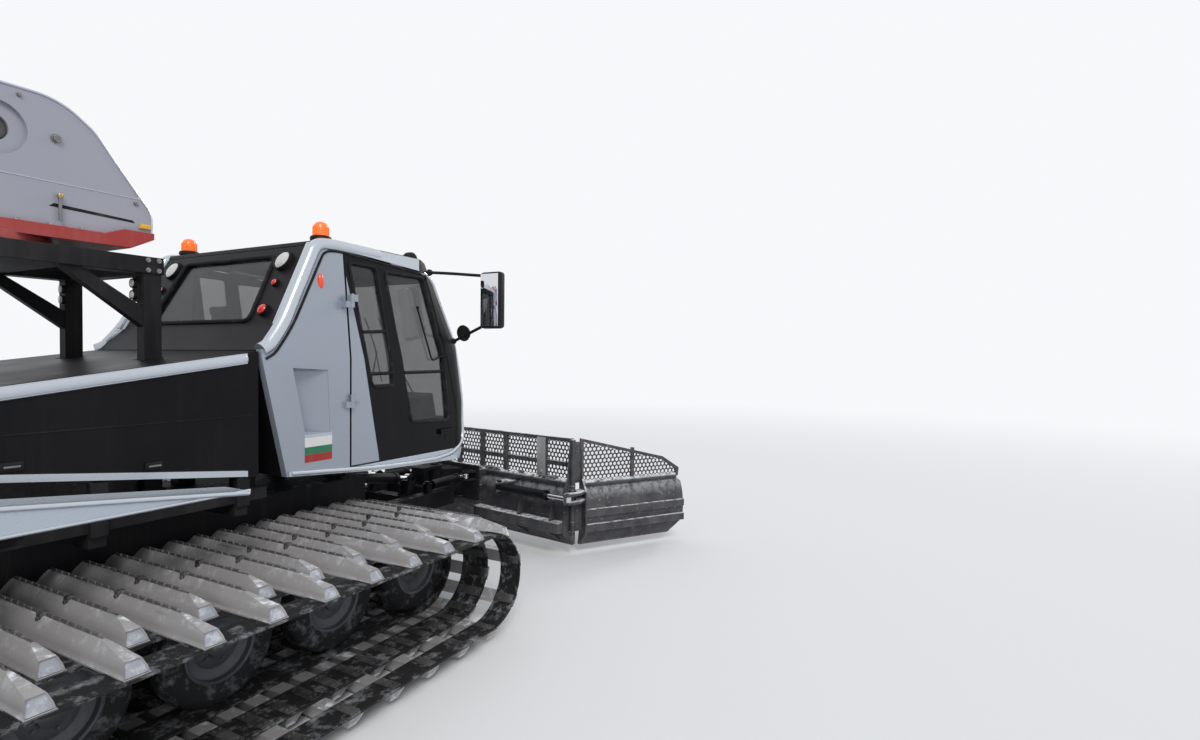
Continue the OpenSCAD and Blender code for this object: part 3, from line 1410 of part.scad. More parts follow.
// Tiller
tiller_up = 25;
tiller_cyl_eye = [hitch_x - 500, hitch_z + 120];
function tiller_eye_at(a) = turned(tiller_cyl_eye, [hitch_x, hitch_z], a);
tiller_shortest = norm(tiller_eye_at(-tiller_up) - tiller_cyl_base);
rotor_x = hitch_x - rotor_reach;
beam_x = rotor_x + 330;
beam_z = rotor_z + 270;
module tiller_frame() {
  color(black) {
    difference() {
      union() {
        both_sides() across(hitch_y - arm_w / 2, hitch_y + arm_w / 2) polygon([
          [hitch_x + 45, hitch_z - 20], [hitch_x + 40, hitch_z + 30], [hitch_x - 10, hitch_z + 55],
          [hitch_x - 480, hitch_z + 70], [beam_x - 60, beam_z + 60], [beam_x - 60, beam_z - 60],
          [beam_x + 60, beam_z - 60], [hitch_x - 300, hitch_z - 70], [hitch_x, hitch_z - 55]
        ]);
      }
      axle(hitch_x, hitch_z, -700, 700, pin_r + pin_fit);
    }
    pin_half = arm_w / 2 + lug_t + 20;
    both_sides() axle(hitch_x, hitch_z, hitch_y - pin_half, hitch_y + pin_half, pin_r);
    box(hitch_x - 480, hitch_x - 380, -hitch_y, hitch_y, hitch_z - 40, hitch_z + 60);
    both_sides() lug_pair(tiller_cyl_y, lug_gap) difference() {
      polygon([
        [hitch_x - 480, hitch_z + 50], [hitch_x - 390, hitch_z + 50],
        [tiller_cyl_eye[0] + 42, tiller_cyl_eye[1]],
        [tiller_cyl_eye[0], tiller_cyl_eye[1] + 44], [tiller_cyl_eye[0] - 42, tiller_cyl_eye[1]]
      ]);
      translate(tiller_cyl_eye) circle(r = pin_r + pin_fit);
    }
    box(beam_x - 60, beam_x + 60, -tiller_half_w + 80, tiller_half_w - 80, beam_z - 60, beam_z + 60);
  }
}
module tiller_barrels() {
  color(steel) both_sides() in_side_plane(tiller_cyl_base, tiller_cyl_eye, tiller_cyl_y) {
    barrel(tiller_shortest);
    rotate([90, 0, 0]) cylinder(h = eye_w + 2 * lug_t + 36, r = pin_r, center = true);
  }
}
module tiller_rods() {
  color(silver) both_sides() in_side_plane(tiller_cyl_base, tiller_cyl_eye, tiller_cyl_y)
    rod(tiller_shortest, norm(tiller_cyl_eye - tiller_cyl_base));
}
hood_r = rotor_r + 55;
hood_t = 12;
end_t = 18;
rotor_end_r = 60;
module hood_outline() {
  difference() {
    translate([rotor_x, rotor_z]) circle(r = hood_r + hood_t, $fn = 64);
    translate([rotor_x, rotor_z]) circle(r = hood_r, $fn = 64);
    translate([rotor_x - 500, -500]) square([1000, 500 + rotor_z - 60]);
  }
}
module hood_end() {
  polygon([
    [rotor_x + hood_r - 30, comb_lift + 20], [rotor_x + hood_r + hood_t, rotor_z - 60],
    [beam_x + 60, beam_z - 60], [beam_x + 60, beam_z + 60], [beam_x - 60, beam_z + 60],
    [rotor_x - 60, rotor_z + hood_r + 20], [rotor_x - hood_r - 20, rotor_z + 60],
    [rotor_x - hood_r - 20, comb_lift + 120], [rotor_x - hood_r + 60, comb_lift + 20]
  ]);
}
module tiller_hood() {
  color(red) {
    across(-tiller_half_w + end_t, tiller_half_w - end_t) hood_outline();
    both_sides() across(tiller_half_w - end_t, tiller_half_w) difference() {
      hood_end();
      translate([rotor_x, rotor_z]) circle(r = rotor_end_r + pin_fit);
    }
    // Brackets that hang the hood on its beam
    for (y = [-2050, -1250, -300, 300, 1250, 2050]) across(y - 10, y + 10) difference() {
      polygon([
        [beam_x - 60 - seat, beam_z - 60], [beam_x - 60 - seat, beam_z + 60],
        [rotor_x + 20, rotor_z + hood_r + 30],
        [rotor_x + 60, rotor_z + hood_r - 8], [rotor_x + hood_r - 20, rotor_z + 90]
      ]);
      translate([rotor_x, rotor_z]) circle(r = hood_r + 4, $fn = 64);
    }
  }
}
disc_count = 18;
disc_t = 22;
module tine_disc(a) {
  polygon([for (i = [0:7]) for (e = [[-17, 95], [-4, 0], [9, 0], [12, 95]])
    (e[1] == 0 ? rotor_r : e[1]) * out(i * 45 + e[0] + a)]);
}
module tiller_rotor() {
  pitch = (2 * tiller_half_w - 300) / (disc_count - 1);
  color(steel) {
    axle(rotor_x, rotor_z, -tiller_half_w + end_t + 30, tiller_half_w - end_t - 30, 80);
    axle(rotor_x, rotor_z, -tiller_half_w - 6, tiller_half_w + 6, rotor_end_r);
    for (i = [0:disc_count - 1]) translate([rotor_x, -tiller_half_w + 150 + i * pitch + disc_t / 2, rotor_z])
      rotate([90, 0, 0]) linear_extrude(disc_t) tine_disc(i * 17);
  }
}
comb_rear = -4800;
ridge_pitch = 110;
ridges = floor((tiller_half_w - 130) / ridge_pitch);  // on each side of the middle one
module finisher() {
  color(rubber) across(-tiller_half_w + end_t + 6, tiller_half_w - end_t - 6) polygon([
    [rotor_x - hood_r - hood_t - seat, rotor_z - 60], [rotor_x - hood_r - hood_t - seat, rotor_z],
    [rotor_x - hood_r - 200, comb_lift + 130], [comb_rear, comb_lift + 22], [comb_rear, comb_lift],
    [rotor_x - hood_r - 190, comb_lift + 84]
  ]);
  // Ridges that press the comb pattern into the snow
  color(rubber) for (i = [-ridges:ridges]) across(i * ridge_pitch - 5, i * ridge_pitch + 5) polygon([
    [rotor_x - hood_r - 190, comb_lift + 110], [comb_rear, comb_lift + 18],
    [comb_rear + 12, comb_lift + 32], [rotor_x - hood_r - 200, comb_lift + 146]
  ]);
}

tub();
running_gear();
wheels_left();
wheels_right();
sprockets();
belts_left();
belts_right();
grousers_left();
grousers_right();
engine();
engine_cover();
deck();
fenders();
portal_frame();
cab_floor();
cab_sides();
cab_rear();
cab_roof();
cab_front();
cab_glass();
seats();
dashboard();
mirrors();
beacons();
lamps();
door_left();
door_left_glass();
door_right();
door_right_glass();
winch_base();
winch_plates();
winch_boom();
winch_drum();
boom_pulley();
lift_arms();
lift_barrels();
lift_rods();
swivel_head();
angle_barrel_left();
angle_rod_left();
angle_barrel_right();
angle_rod_right();
blade();
blade_mesh();
wing_left();
wing_left_mesh();
wing_right();
wing_right_mesh();
wing_barrel_left();
wing_rod_left();
wing_barrel_right();
wing_rod_right();
tiller_frame();
tiller_barrels();
tiller_rods();
tiller_hood();
tiller_rotor();
finisher();
trim();
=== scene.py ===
# %% [markdown]
# # Dressing a winch snow groomer
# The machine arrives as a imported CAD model: exact, but bare. This lesson gives each part the look
# of the real one. It runs from top to bottom, and each cell makes one thing: the camera, the studio,
# the finishes, then the pieces, from the tracks up to the winch.

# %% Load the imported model
import json
import math

import bmesh
import bpy
import numpy as np
from mathutils import Matrix, Vector


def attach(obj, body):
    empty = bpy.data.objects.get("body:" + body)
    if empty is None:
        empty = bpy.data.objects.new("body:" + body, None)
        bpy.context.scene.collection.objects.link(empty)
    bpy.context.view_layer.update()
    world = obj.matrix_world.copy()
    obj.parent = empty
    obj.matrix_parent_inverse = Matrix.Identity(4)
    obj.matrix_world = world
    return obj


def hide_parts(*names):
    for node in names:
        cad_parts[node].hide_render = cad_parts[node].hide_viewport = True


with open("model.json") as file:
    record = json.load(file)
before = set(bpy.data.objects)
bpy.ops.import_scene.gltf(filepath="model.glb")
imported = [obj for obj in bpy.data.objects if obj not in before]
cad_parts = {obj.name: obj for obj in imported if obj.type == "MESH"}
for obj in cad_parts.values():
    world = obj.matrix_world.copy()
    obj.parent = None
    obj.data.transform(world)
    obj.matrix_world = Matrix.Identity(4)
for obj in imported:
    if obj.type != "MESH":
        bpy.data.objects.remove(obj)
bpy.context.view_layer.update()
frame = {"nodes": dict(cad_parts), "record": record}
nodes = frame["nodes"]

# %% [markdown]
# ## The camera
# The view is taken from beside the right-hand track, near the rear, and looks forwards through a
# wide lens. Place and angles were solved from points of the machine whose real size is known. A
# camera looks along its own -Z with +Y up, so its matrix has the picture's right, up and backward
# directions as columns.

# %% Camera
CAMERA_PLACE = Vector((-2.377, -4.684, 1.979))
heading = math.radians(27.19)
dip = math.radians(-1.155)
tilt = math.radians(0.514)
focal_px = 631.95
PHOTO_WIDTH_PX = 1200

forward = Vector((
    math.cos(heading) * math.cos(dip),
    math.sin(heading) * math.cos(dip),
    math.sin(dip),
))
level_right = Vector((math.sin(heading), -math.cos(heading), 0.0))
level_up = level_right.cross(forward)
right = level_right * math.cos(tilt) + level_up * math.sin(tilt)
up = level_up * math.cos(tilt) - level_right * math.sin(tilt)

camera = bpy.data.cameras.new("camera")
camera.sensor_width = 36.0
camera.lens = camera.sensor_width * focal_px / PHOTO_WIDTH_PX
camera_object = bpy.data.objects.new("camera", camera)
bpy.context.scene.collection.objects.link(camera_object)
camera_object.matrix_world = Matrix.Translation(CAMERA_PLACE) @ Matrix(
    (right, up, -forward)
).transposed().to_4x4()
bpy.context.scene.camera = camera_object
bpy.context.scene.view_settings.view_transform = "Standard"
print("camera", round(camera.lens, 2), "mm")

# %% [markdown]
# ## Building shader networks by hand
# Every finish below is a small network: coordinates, a few noise textures, a colour ramp and one
# surface shader. Two helpers keep the recipes readable: one adds any node with its inputs filled in,
# the other starts a material. Object coordinates keep a pattern fixed to its piece.

# %% Adding nodes
def add_node(tree, kind, inputs=None, **settings):
    made = tree.nodes.new("ShaderNode" + kind)
    for name, value in settings.items():
        setattr(made, name, value)
    for name, value in (inputs or {}).items():
        if isinstance(value, bpy.types.NodeSocket):
            tree.links.new(value, made.inputs[name])
        else:
            made.inputs[name].default_value = value
    return made


def start_material(name):
    material = bpy.data.materials.new(name)
    material.use_nodes = True
    tree = material.node_tree
    tree.nodes.clear()
    surface = add_node(tree, "BsdfPrincipled")
    add_node(tree, "OutputMaterial", {"Surface": surface.outputs[0]})
    coordinates = add_node(tree, "TexCoord").outputs["Object"]
    return material, tree, surface, coordinates


print("a new material starts with", [node.bl_idname for node in start_material("trial")[1].nodes])
bpy.data.materials.remove(bpy.data.materials["trial"])

# %% [markdown]
# ## Noise, ramps and mixing
# The same five steps come back in every recipe: a noise, a change of its range, a sum or product of
# two values, a mix of two colours, and a colour that is given its fourth number.

# %% Steps that the recipes share
def speckle(tree, coordinates, scale, detail, roughness=0.55, stretch=None):
    if stretch:
        coordinates = add_node(
            tree, "Mapping", {"Vector": coordinates, "Scale": stretch}
        ).outputs["Vector"]
    return add_node(tree, "TexNoise", {
        "Vector": coordinates, "Scale": scale, "Detail": detail, "Roughness": roughness,
    }).outputs["Fac"]


def remap(tree, value, low, high, to_low=0.0, to_high=1.0):
    return add_node(tree, "MapRange", {
        "Value": value, "From Min": low, "From Max": high, "To Min": to_low, "To Max": to_high,
    }).outputs["Result"]


def maths(tree, operation, first, second):
    return add_node(tree, "Math", {0: first, 1: second}, operation=operation).outputs[0]


def blend_colours(tree, factor, first, second):
    fill = {0: factor, 6: first, 7: second}
    return add_node(tree, "Mix", fill, data_type="RGBA").outputs[2]


def opaque(colour):
    return (*colour, 1.0)


print("a colour with its fourth number:", opaque((0.5, 0.5, 0.5)))

# %% [markdown]
# ## The studio
# A pale floor catches the shadow. Far out it turns to the white of the background, by its distance
# from the machine, so that no horizon line shows. One broad lamp stands high on the camera's side,
# a weaker one behind, and the world fills the shadows. Together they light a surface about as
# brightly as its colour is written.

# %% Floor
FLOOR_R = 90.0
BACKGROUND = (0.93, 0.94, 0.96)
FLOOR_COLOUR = (0.78, 0.79, 0.81)
FADE_START, FADE_END = 9.0, 26.0


def seen_directly(tree):
    """One for the camera's own rays, also by way of a mirror or through glass, nought for the rest."""
    rays = add_node(tree, "LightPath").outputs
    seen = maths(tree, "MAXIMUM", rays["Is Camera Ray"], rays["Is Glossy Ray"])
    return maths(tree, "MAXIMUM", seen, rays["Is Transmission Ray"])


floor_shape = bmesh.new()
bmesh.ops.create_circle(floor_shape, cap_ends=True, segments=96, radius=FLOOR_R)
floor_mesh = bpy.data.meshes.new("studio_floor")
floor_shape.to_mesh(floor_mesh)
floor_shape.free()
studio_floor = bpy.data.objects.new("studio_floor", floor_mesh)
bpy.context.scene.collection.objects.link(studio_floor)

floor_finish, tree, surface, coordinates = start_material("studio_floor")
surface.inputs["Base Color"].default_value = opaque(FLOOR_COLOUR)
surface.inputs["Roughness"].default_value = 0.9
surface.inputs["Specular IOR Level"].default_value = 0.1
distance = add_node(tree, "VectorMath", {0: coordinates}, operation="LENGTH").outputs["Value"]
far = add_node(tree, "MapRange", {
    "Value": distance, "From Min": FADE_START, "From Max": FADE_END,
}, interpolation_type="SMOOTHSTEP").outputs["Result"]
glow = add_node(tree, "Emission", {"Color": opaque(BACKGROUND), "Strength": 1.0})
mixed = add_node(tree, "MixShader", {
    0: maths(tree, "MULTIPLY", far, seen_directly(tree)), 1: surface.outputs[0], 2: glow.outputs[0],
})
tree.links.new(mixed.outputs[0], tree.nodes["Material Output"].inputs["Surface"])
floor_mesh.materials.append(floor_finish)
print("floor radius", FLOOR_R, "m")

# %% World and lamps
world = bpy.data.worlds.new("studio")
bpy.context.scene.world = world
world.use_nodes = True
tree = world.node_tree
tree.nodes.clear()
fill_light = add_node(tree, "Background", {"Color": (0.90, 0.95, 1.0, 1.0), "Strength": 0.62})
backdrop = add_node(tree, "Background", {"Color": opaque(BACKGROUND), "Strength": 1.0})
mixed = add_node(tree, "MixShader", {
    0: seen_directly(tree), 1: fill_light.outputs[0], 2: backdrop.outputs[0],
})
add_node(tree, "OutputWorld", {"Surface": mixed.outputs[0]})


def add_studio_lamp(name, aim, strength, angle, colour):
    lamp = bpy.data.lights.new(name, "SUN")
    lamp.energy = strength
    lamp.angle = math.radians(angle)
    lamp.color = colour
    lamp_object = bpy.data.objects.new(name, lamp)
    lamp_object.rotation_euler = Vector(aim).to_track_quat("-Z", "Y").to_euler()
    bpy.context.scene.collection.objects.link(lamp_object)


add_studio_lamp("key_lamp", (0.62, 0.60, -0.75), 1.55, 24.0, (1.0, 0.97, 0.93))
add_studio_lamp("rim_lamp", (-0.80, 0.15, -0.40), 0.65, 14.0, (1.0, 0.90, 0.78))
print("two lamps, fill light", fill_light.inputs["Strength"].default_value)

# %% [markdown]
# ## Paint
# A groomer's paint is never clean: road film dulls it in soft clouds, fine dust settles in specks,
# and frost gathers on whatever faces up. One recipe makes all the paints. It mixes three noises
# into the colour, breaks up the gloss with the same noise and adds a very low bump, which is the
# orange peel of sprayed paint. Frost follows the surface's own normal in object space, so it stays on
# the upper faces when a part moves.

# %% Recipe for paint
DUST = (0.42, 0.41, 0.40)
FROST = (0.80, 0.83, 0.88)


def facing_up(tree, steepness_low, steepness_high):
    normal = add_node(tree, "TexCoord").outputs["Normal"]
    height = add_node(tree, "SeparateXYZ", {0: normal}).outputs["Z"]
    return remap(tree, height, steepness_low, steepness_high)


def make_paint(name, colour, roughness, metallic=0.0, film=0.12, frost=0.0, peel=0.02, coat=0.0,
               shine=0.5):
    material, tree, surface, coordinates = start_material(name)
    clouds = speckle(tree, coordinates, 1.6, 5.0)
    specks = speckle(tree, coordinates, 140.0, 2.0, 0.7)
    streaks = speckle(tree, coordinates, 9.0, 4.0, 0.6, stretch=(1.0, 1.0, 0.12))
    dulled = remap(tree, clouds, 0.40, 0.72, 0.0, film)
    dulled = maths(tree, "ADD", dulled, remap(tree, specks, 0.62, 0.80, 0.0, film * 0.8))
    dulled = maths(tree, "ADD", dulled, remap(tree, streaks, 0.52, 0.75, 0.0, film * 0.7))
    painted = blend_colours(tree, dulled, opaque(colour), opaque(DUST))
    rough = remap(tree, clouds, 0.3, 0.8, roughness * 0.85, roughness * 1.25)
    if frost:
        patches = speckle(tree, coordinates, 11.0, 6.0, 0.65)
        covered = maths(tree, "MULTIPLY", facing_up(tree, 0.45, 0.95),
                        remap(tree, patches, 0.62 - 0.3 * frost, 0.76 - 0.2 * frost, 0.0, 0.5))
        painted = blend_colours(tree, covered, painted, opaque(FROST))
        rough = maths(tree, "MAXIMUM", rough, maths(tree, "MULTIPLY", covered, 0.9))
    tree.links.new(painted, surface.inputs["Base Color"])
    tree.links.new(rough, surface.inputs["Roughness"])
    surface.inputs["Metallic"].default_value = metallic
    surface.inputs["Specular IOR Level"].default_value = shine
    surface.inputs["Coat Weight"].default_value = coat
    surface.inputs["Coat Roughness"].default_value = 0.08
    orange_peel = speckle(tree, coordinates, 220.0, 2.0)
    bump = add_node(tree, "Bump", {"Height": orange_peel, "Strength": peel, "Distance": 0.002})
    tree.links.new(bump.outputs[0], surface.inputs["Normal"])
    return material


panel_paint = make_paint("panel_paint", (0.30, 0.335, 0.40), 0.34, metallic=0.25, coat=0.35, film=0.07)
trim_paint = make_paint("trim_paint", (0.44, 0.50, 0.58), 0.30, metallic=0.35, coat=0.3, film=0.06)
bright_trim = make_paint("bright_trim", (0.52, 0.56, 0.62), 0.24, metallic=0.7, coat=0.4, film=0.05)
black_paint = make_paint("black_paint", (0.006, 0.006, 0.008), 0.40, film=0.012, shine=0.10)
gloss_black = make_paint("gloss_black", (0.004, 0.004, 0.006), 0.16, film=0.008, shine=0.14)
frame_paint = make_paint("frame_paint", (0.008, 0.008, 0.010), 0.55, film=0.04, frost=0.2, peel=0.06,
                         shine=0.12)
red_paint = make_paint("red_paint", (0.34, 0.012, 0.010), 0.42, film=0.10, peel=0.04)
yellow_paint = make_paint("yellow_paint", (0.72, 0.42, 0.03), 0.45, film=0.10)
winch_paint = make_paint("winch_paint", (0.33, 0.34, 0.40), 0.42, metallic=0.1, film=0.14, peel=0.05)
green_paint = make_paint("green_paint", (0.01, 0.16, 0.07), 0.40, film=0.05)
# The rims' dark grey is partly the steel's own and partly painted shade, for the shade inside the track.
shaded_rim_paint = make_paint("shaded_rim_paint", (0.075, 0.080, 0.092), 0.42, metallic=0.2, film=0.16, shine=0.25)
white_paint = make_paint("white_paint", (0.70, 0.70, 0.70), 0.40, film=0.08)
print("paints made")

# %% [markdown]
# ## Worn metal
# The blade, the cross bars and the tines work in ice and grit. Their paint or skin is scratched
# along the way that these slide, and their edges are rubbed bright. The edge mask compares the
# true normal with one that the Bevel node has rounded: they differ only beside an edge.

# %% Recipe for worn metal
def edge_wear(tree, coordinates, radius):
    rounded = add_node(tree, "Bevel", {"Radius": radius}, samples=4).outputs[0]
    true_normal = add_node(tree, "NewGeometry").outputs["Normal"]
    alike = add_node(tree, "VectorMath", {0: rounded, 1: true_normal}, operation="DOT_PRODUCT")
    mask = remap(tree, alike.outputs["Value"], 0.985, 0.90)
    gaps = remap(tree, speckle(tree, coordinates, 18.0, 5.0, 0.7), 0.36, 0.56)
    return maths(tree, "MULTIPLY", mask, gaps)


def make_worn(name, colour, bare, roughness, metallic, scratch, frost=0.0, edge=0.004, film=0.15):
    material, tree, surface, coordinates = start_material(name)
    grime = speckle(tree, coordinates, 7.0, 6.0, 0.65)
    scratches = speckle(tree, coordinates, 26.0, 3.0, 0.6, stretch=scratch)
    worn = edge_wear(tree, coordinates, edge)
    rubbed = maths(tree, "MAXIMUM", worn, remap(tree, scratches, 0.63, 0.70, 0.0, 0.55))
    dusty = remap(tree, grime, 0.35, 0.75, 0.0, film * 2)
    skin = blend_colours(tree, dusty, opaque(colour), opaque(DUST))
    skin = blend_colours(tree, rubbed, skin, opaque(bare))
    rough = remap(tree, grime, 0.3, 0.8, roughness * 0.8, min(1.0, roughness * 1.35))
    if frost:
        patches = speckle(tree, coordinates, 15.0, 6.0, 0.7)
        covered = maths(tree, "MULTIPLY", facing_up(tree, 0.25, 0.85),
                        remap(tree, patches, 0.60 - 0.3 * frost, 0.70 - 0.2 * frost))
        skin = blend_colours(tree, covered, skin, opaque(FROST))
        rough = maths(tree, "MAXIMUM", rough, maths(tree, "MULTIPLY", covered, 0.92))
    tree.links.new(skin, surface.inputs["Base Color"])
    tree.links.new(rough, surface.inputs["Roughness"])
    tree.links.new(remap(tree, rubbed, 0.0, 1.0, metallic, 1.0), surface.inputs["Metallic"])
    height = maths(tree, "ADD", maths(tree, "MULTIPLY", scratches, 0.6), grime)
    bump = add_node(tree, "Bump", {"Height": height, "Strength": 0.12, "Distance": 0.004})
    tree.links.new(bump.outputs[0], surface.inputs["Normal"])
    return material


BARE_STEEL = (0.52, 0.52, 0.53)
EVEN = (1.0, 1.0, 1.0)
blade_paint = make_worn("blade_paint", (0.026, 0.024, 0.029), (0.36, 0.35, 0.36), 0.55, 0.0,
                        (1.0, 0.08, 1.0), frost=0.75, film=0.08)
steel = make_worn("steel", (0.17, 0.17, 0.18), BARE_STEEL, 0.45, 0.7, (1.0, 0.15, 1.0))
dark_steel = make_worn("dark_steel", (0.030, 0.029, 0.031), (0.30, 0.30, 0.31), 0.5, 0.4, (0.2, 1.0, 1.0))
aluminium = make_worn("aluminium", (0.47, 0.455, 0.46), (0.66, 0.65, 0.64), 0.42, 0.45, (1.0, 0.06, 1.0),
                      frost=0.28, edge=0.003, film=0.14)
wound_rope = make_worn("wound_rope", (0.16, 0.155, 0.15), (0.48, 0.47, 0.45), 0.42, 0.85, EVEN)
cast_iron = make_worn("cast_iron", (0.05, 0.045, 0.045), (0.33, 0.32, 0.31), 0.65, 0.3, EVEN, frost=0.3)
rod_chrome = make_paint("rod_chrome", (0.62, 0.63, 0.65), 0.14, metallic=1.0, film=0.03, peel=0.0)
brass = make_worn("brass", (0.42, 0.28, 0.08), (0.75, 0.55, 0.22), 0.35, 0.9, EVEN)
print("metals made")

# %% [markdown]
# ## Rubber, plastic, glass and lamps
# Rubber shows the weave of its cords as a fine bump and greys where snow has dried on it. Glass is a
# dark see-through sheet: its transparency is one number on the shader, so that the exported model
# keeps it. Lamp glass glows a little from within, as a lens does when it gathers daylight.

# %% Recipes for rubber and glass
def make_rubber(name, colour, weave, dusting):
    material, tree, surface, coordinates = start_material(name)
    dried = speckle(tree, coordinates, 13.0, 6.0, 0.7)
    pale = blend_colours(tree, remap(tree, dried, 0.50, 0.74, 0.0, dusting), opaque(colour), opaque(FROST))
    tree.links.new(pale, surface.inputs["Base Color"])
    tree.links.new(remap(tree, dried, 0.3, 0.8, 0.62, 0.92), surface.inputs["Roughness"])
    surface.inputs["Specular IOR Level"].default_value = 0.2
    cords = add_node(tree, "TexWave", {
        "Vector": coordinates, "Scale": weave, "Distortion": 1.5, "Detail": 2.0,
    }, bands_direction="Y").outputs["Fac"]
    height = maths(tree, "ADD", maths(tree, "MULTIPLY", cords, 0.5), dried)
    bump = add_node(tree, "Bump", {"Height": height, "Strength": 0.25, "Distance": 0.003})
    tree.links.new(bump.outputs[0], surface.inputs["Normal"])
    return material


def make_glass(name, colour, alpha):
    material, tree, surface, coordinates = start_material(name)
    smears = speckle(tree, coordinates, 5.0, 5.0, 0.6)
    hazy = blend_colours(tree, remap(tree, smears, 0.45, 0.8, 0.0, 0.10), opaque(colour), opaque(DUST))
    tree.links.new(hazy, surface.inputs["Base Color"])
    tree.links.new(remap(tree, smears, 0.35, 0.8, 0.02, 0.12), surface.inputs["Roughness"])
    surface.inputs["IOR"].default_value = 1.75
    surface.inputs["Alpha"].default_value = alpha
    return material


def make_lens(name, colour, glow):
    material, tree, surface, coordinates = start_material(name)
    ribs = add_node(tree, "TexWave", {
        "Vector": coordinates, "Scale": 28.0,
    }, bands_direction="Z").outputs["Fac"]
    tinted = blend_colours(tree, ribs, opaque(colour), opaque([0.75 * c for c in colour]))
    tree.links.new(tinted, surface.inputs["Base Color"])
    tree.links.new(tinted, surface.inputs["Emission Color"])
    surface.inputs["Emission Strength"].default_value = glow
    surface.inputs["Roughness"].default_value = 0.12
    surface.inputs["Coat Weight"].default_value = 0.5
    bump = add_node(tree, "Bump", {"Height": ribs, "Strength": 0.3, "Distance": 0.002})
    tree.links.new(bump.outputs[0], surface.inputs["Normal"])
    return material


belt_rubber = make_rubber("belt_rubber", (0.013, 0.013, 0.014), 90.0, 0.35)
tyre_rubber = make_rubber("tyre_rubber", (0.016, 0.016, 0.017), 60.0, 0.22)
seal_rubber = make_rubber("seal_rubber", (0.008, 0.008, 0.009), 40.0, 0.05)
comb_rubber = make_rubber("comb_rubber", (0.022, 0.022, 0.024), 50.0, 0.16)
black_plastic = make_paint("black_plastic", (0.009, 0.009, 0.010), 0.50, film=0.03, peel=0.25, shine=0.15)
window_glass = make_glass("window_glass", (0.012, 0.016, 0.019), 0.42)
mirror_glass = make_paint("mirror_glass", (0.70, 0.72, 0.74), 0.05, metallic=1.0, film=0.02, peel=0.0)
orange_lens = make_lens("orange_lens", (0.95, 0.17, 0.01), 0.45)
clear_lens = make_lens("clear_lens", (0.62, 0.62, 0.60), 0.10)
marker_lens = make_lens("marker_lens", (0.80, 0.055, 0.012), 0.30)
red_lens = make_lens("red_lens", (0.62, 0.012, 0.010), 0.25)
print("rubber, plastic, glass and lenses made")

# %% [markdown]
# ## Seat cloth
# The seats are upholstered in a dark woven cloth. Two crossed waves make the weave, a soft noise
# makes the worn, paler places, and a little sheen lifts the rims as fibres do.

# %% Seat cloth
seat_cloth, tree, surface, coordinates = start_material("seat_cloth")
THREADS = 190.0
warp, weft = (add_node(tree, "TexWave", {
    "Vector": coordinates, "Scale": THREADS,
}, bands_direction=way).outputs["Fac"] for way in "YZ")
woven = maths(tree, "MULTIPLY", warp, weft)
rubbed = speckle(tree, coordinates, 6.0, 4.0)
thread = blend_colours(tree, woven, (0.018, 0.019, 0.022, 1), (0.060, 0.062, 0.070, 1))
thread = blend_colours(tree, remap(tree, rubbed, 0.45, 0.75, 0.0, 0.25), thread, (0.13, 0.13, 0.14, 1))
tree.links.new(thread, surface.inputs["Base Color"])
surface.inputs["Roughness"].default_value = 0.9
surface.inputs["Sheen Weight"].default_value = 0.35
bump = add_node(tree, "Bump", {"Height": woven, "Strength": 0.35, "Distance": 0.001})
tree.links.new(bump.outputs[0], surface.inputs["Normal"])
print("seat cloth made")

# %% [markdown]
# ## From a bmesh to a piece
# A piece is an object that rides on one body of the machine and may stand in for CAD nodes. The
# other ends a bmesh before: it turns the faces outwards and shades them smooth, but for the edges
# that are sharp.

# %% Helpers for pieces
def link_piece(mesh, name, body, materials, replaces):
    for one in materials if isinstance(materials, (list, tuple)) else [materials]:
        mesh.materials.append(one)
    piece = bpy.data.objects.new(name, mesh)
    bpy.context.scene.collection.objects.link(piece)
    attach(piece, body)
    if replaces:
        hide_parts(*replaces)
    return piece


def finish_piece(bm, name, body, materials, replaces=(), smooth=38.0):
    """Turns a bmesh into a piece: faces outwards, smooth but for its sharp edges."""
    bmesh.ops.recalc_face_normals(bm, faces=bm.faces)
    mesh = bpy.data.meshes.new(name)
    bm.to_mesh(mesh)
    bm.free()
    mesh.shade_smooth()
    mesh.set_sharp_from_angle(angle=math.radians(smooth))
    print(f"{name}: {len(mesh.polygons)} faces on {body}")
    return link_piece(mesh, name, body, materials, replaces)


MIRRORED = Matrix.Diagonal((1.0, -1.0, 1.0, 1.0))
LEFT_AND_RIGHT = (Matrix(), MIRRORED)
# The tracks are drawn on the left, where y is positive; cab, winch and wings on the right.
FROM_LEFT = (("left", Matrix()), ("right", MIRRORED))
FROM_RIGHT = (("right", Matrix()), ("left", MIRRORED))
print("mirrored, the left side's +Y points to", tuple(MIRRORED @ Vector((0.0, 1.0, 0.0))))

# %% [markdown]
# ## Rounding what the CAD model brings
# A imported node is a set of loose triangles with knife-sharp edges. Real plate and castings have
# broken edges that catch the light. So each rigid node gets a copy: its triangles are merged, its
# flat faces joined again, and a bevel rounds every edge sharper than thirty-two degrees. The
# bevel's width is the one that a press or a welder's grinder would leave on that part.

# %% Helper for rounded copies
BODY_OF = {name: body for body, names in frame["record"]["behaviour"]["bodies"].items() for name in names}
SHARP = math.radians(32)
MERGE = 2e-5


def merged_copy(node):
    bm = bmesh.new()
    bm.from_mesh(nodes[node].data)
    bmesh.ops.remove_doubles(bm, verts=bm.verts, dist=MERGE)
    bmesh.ops.dissolve_limit(bm, angle_limit=math.radians(0.6), verts=bm.verts, edges=bm.edges)
    return bm


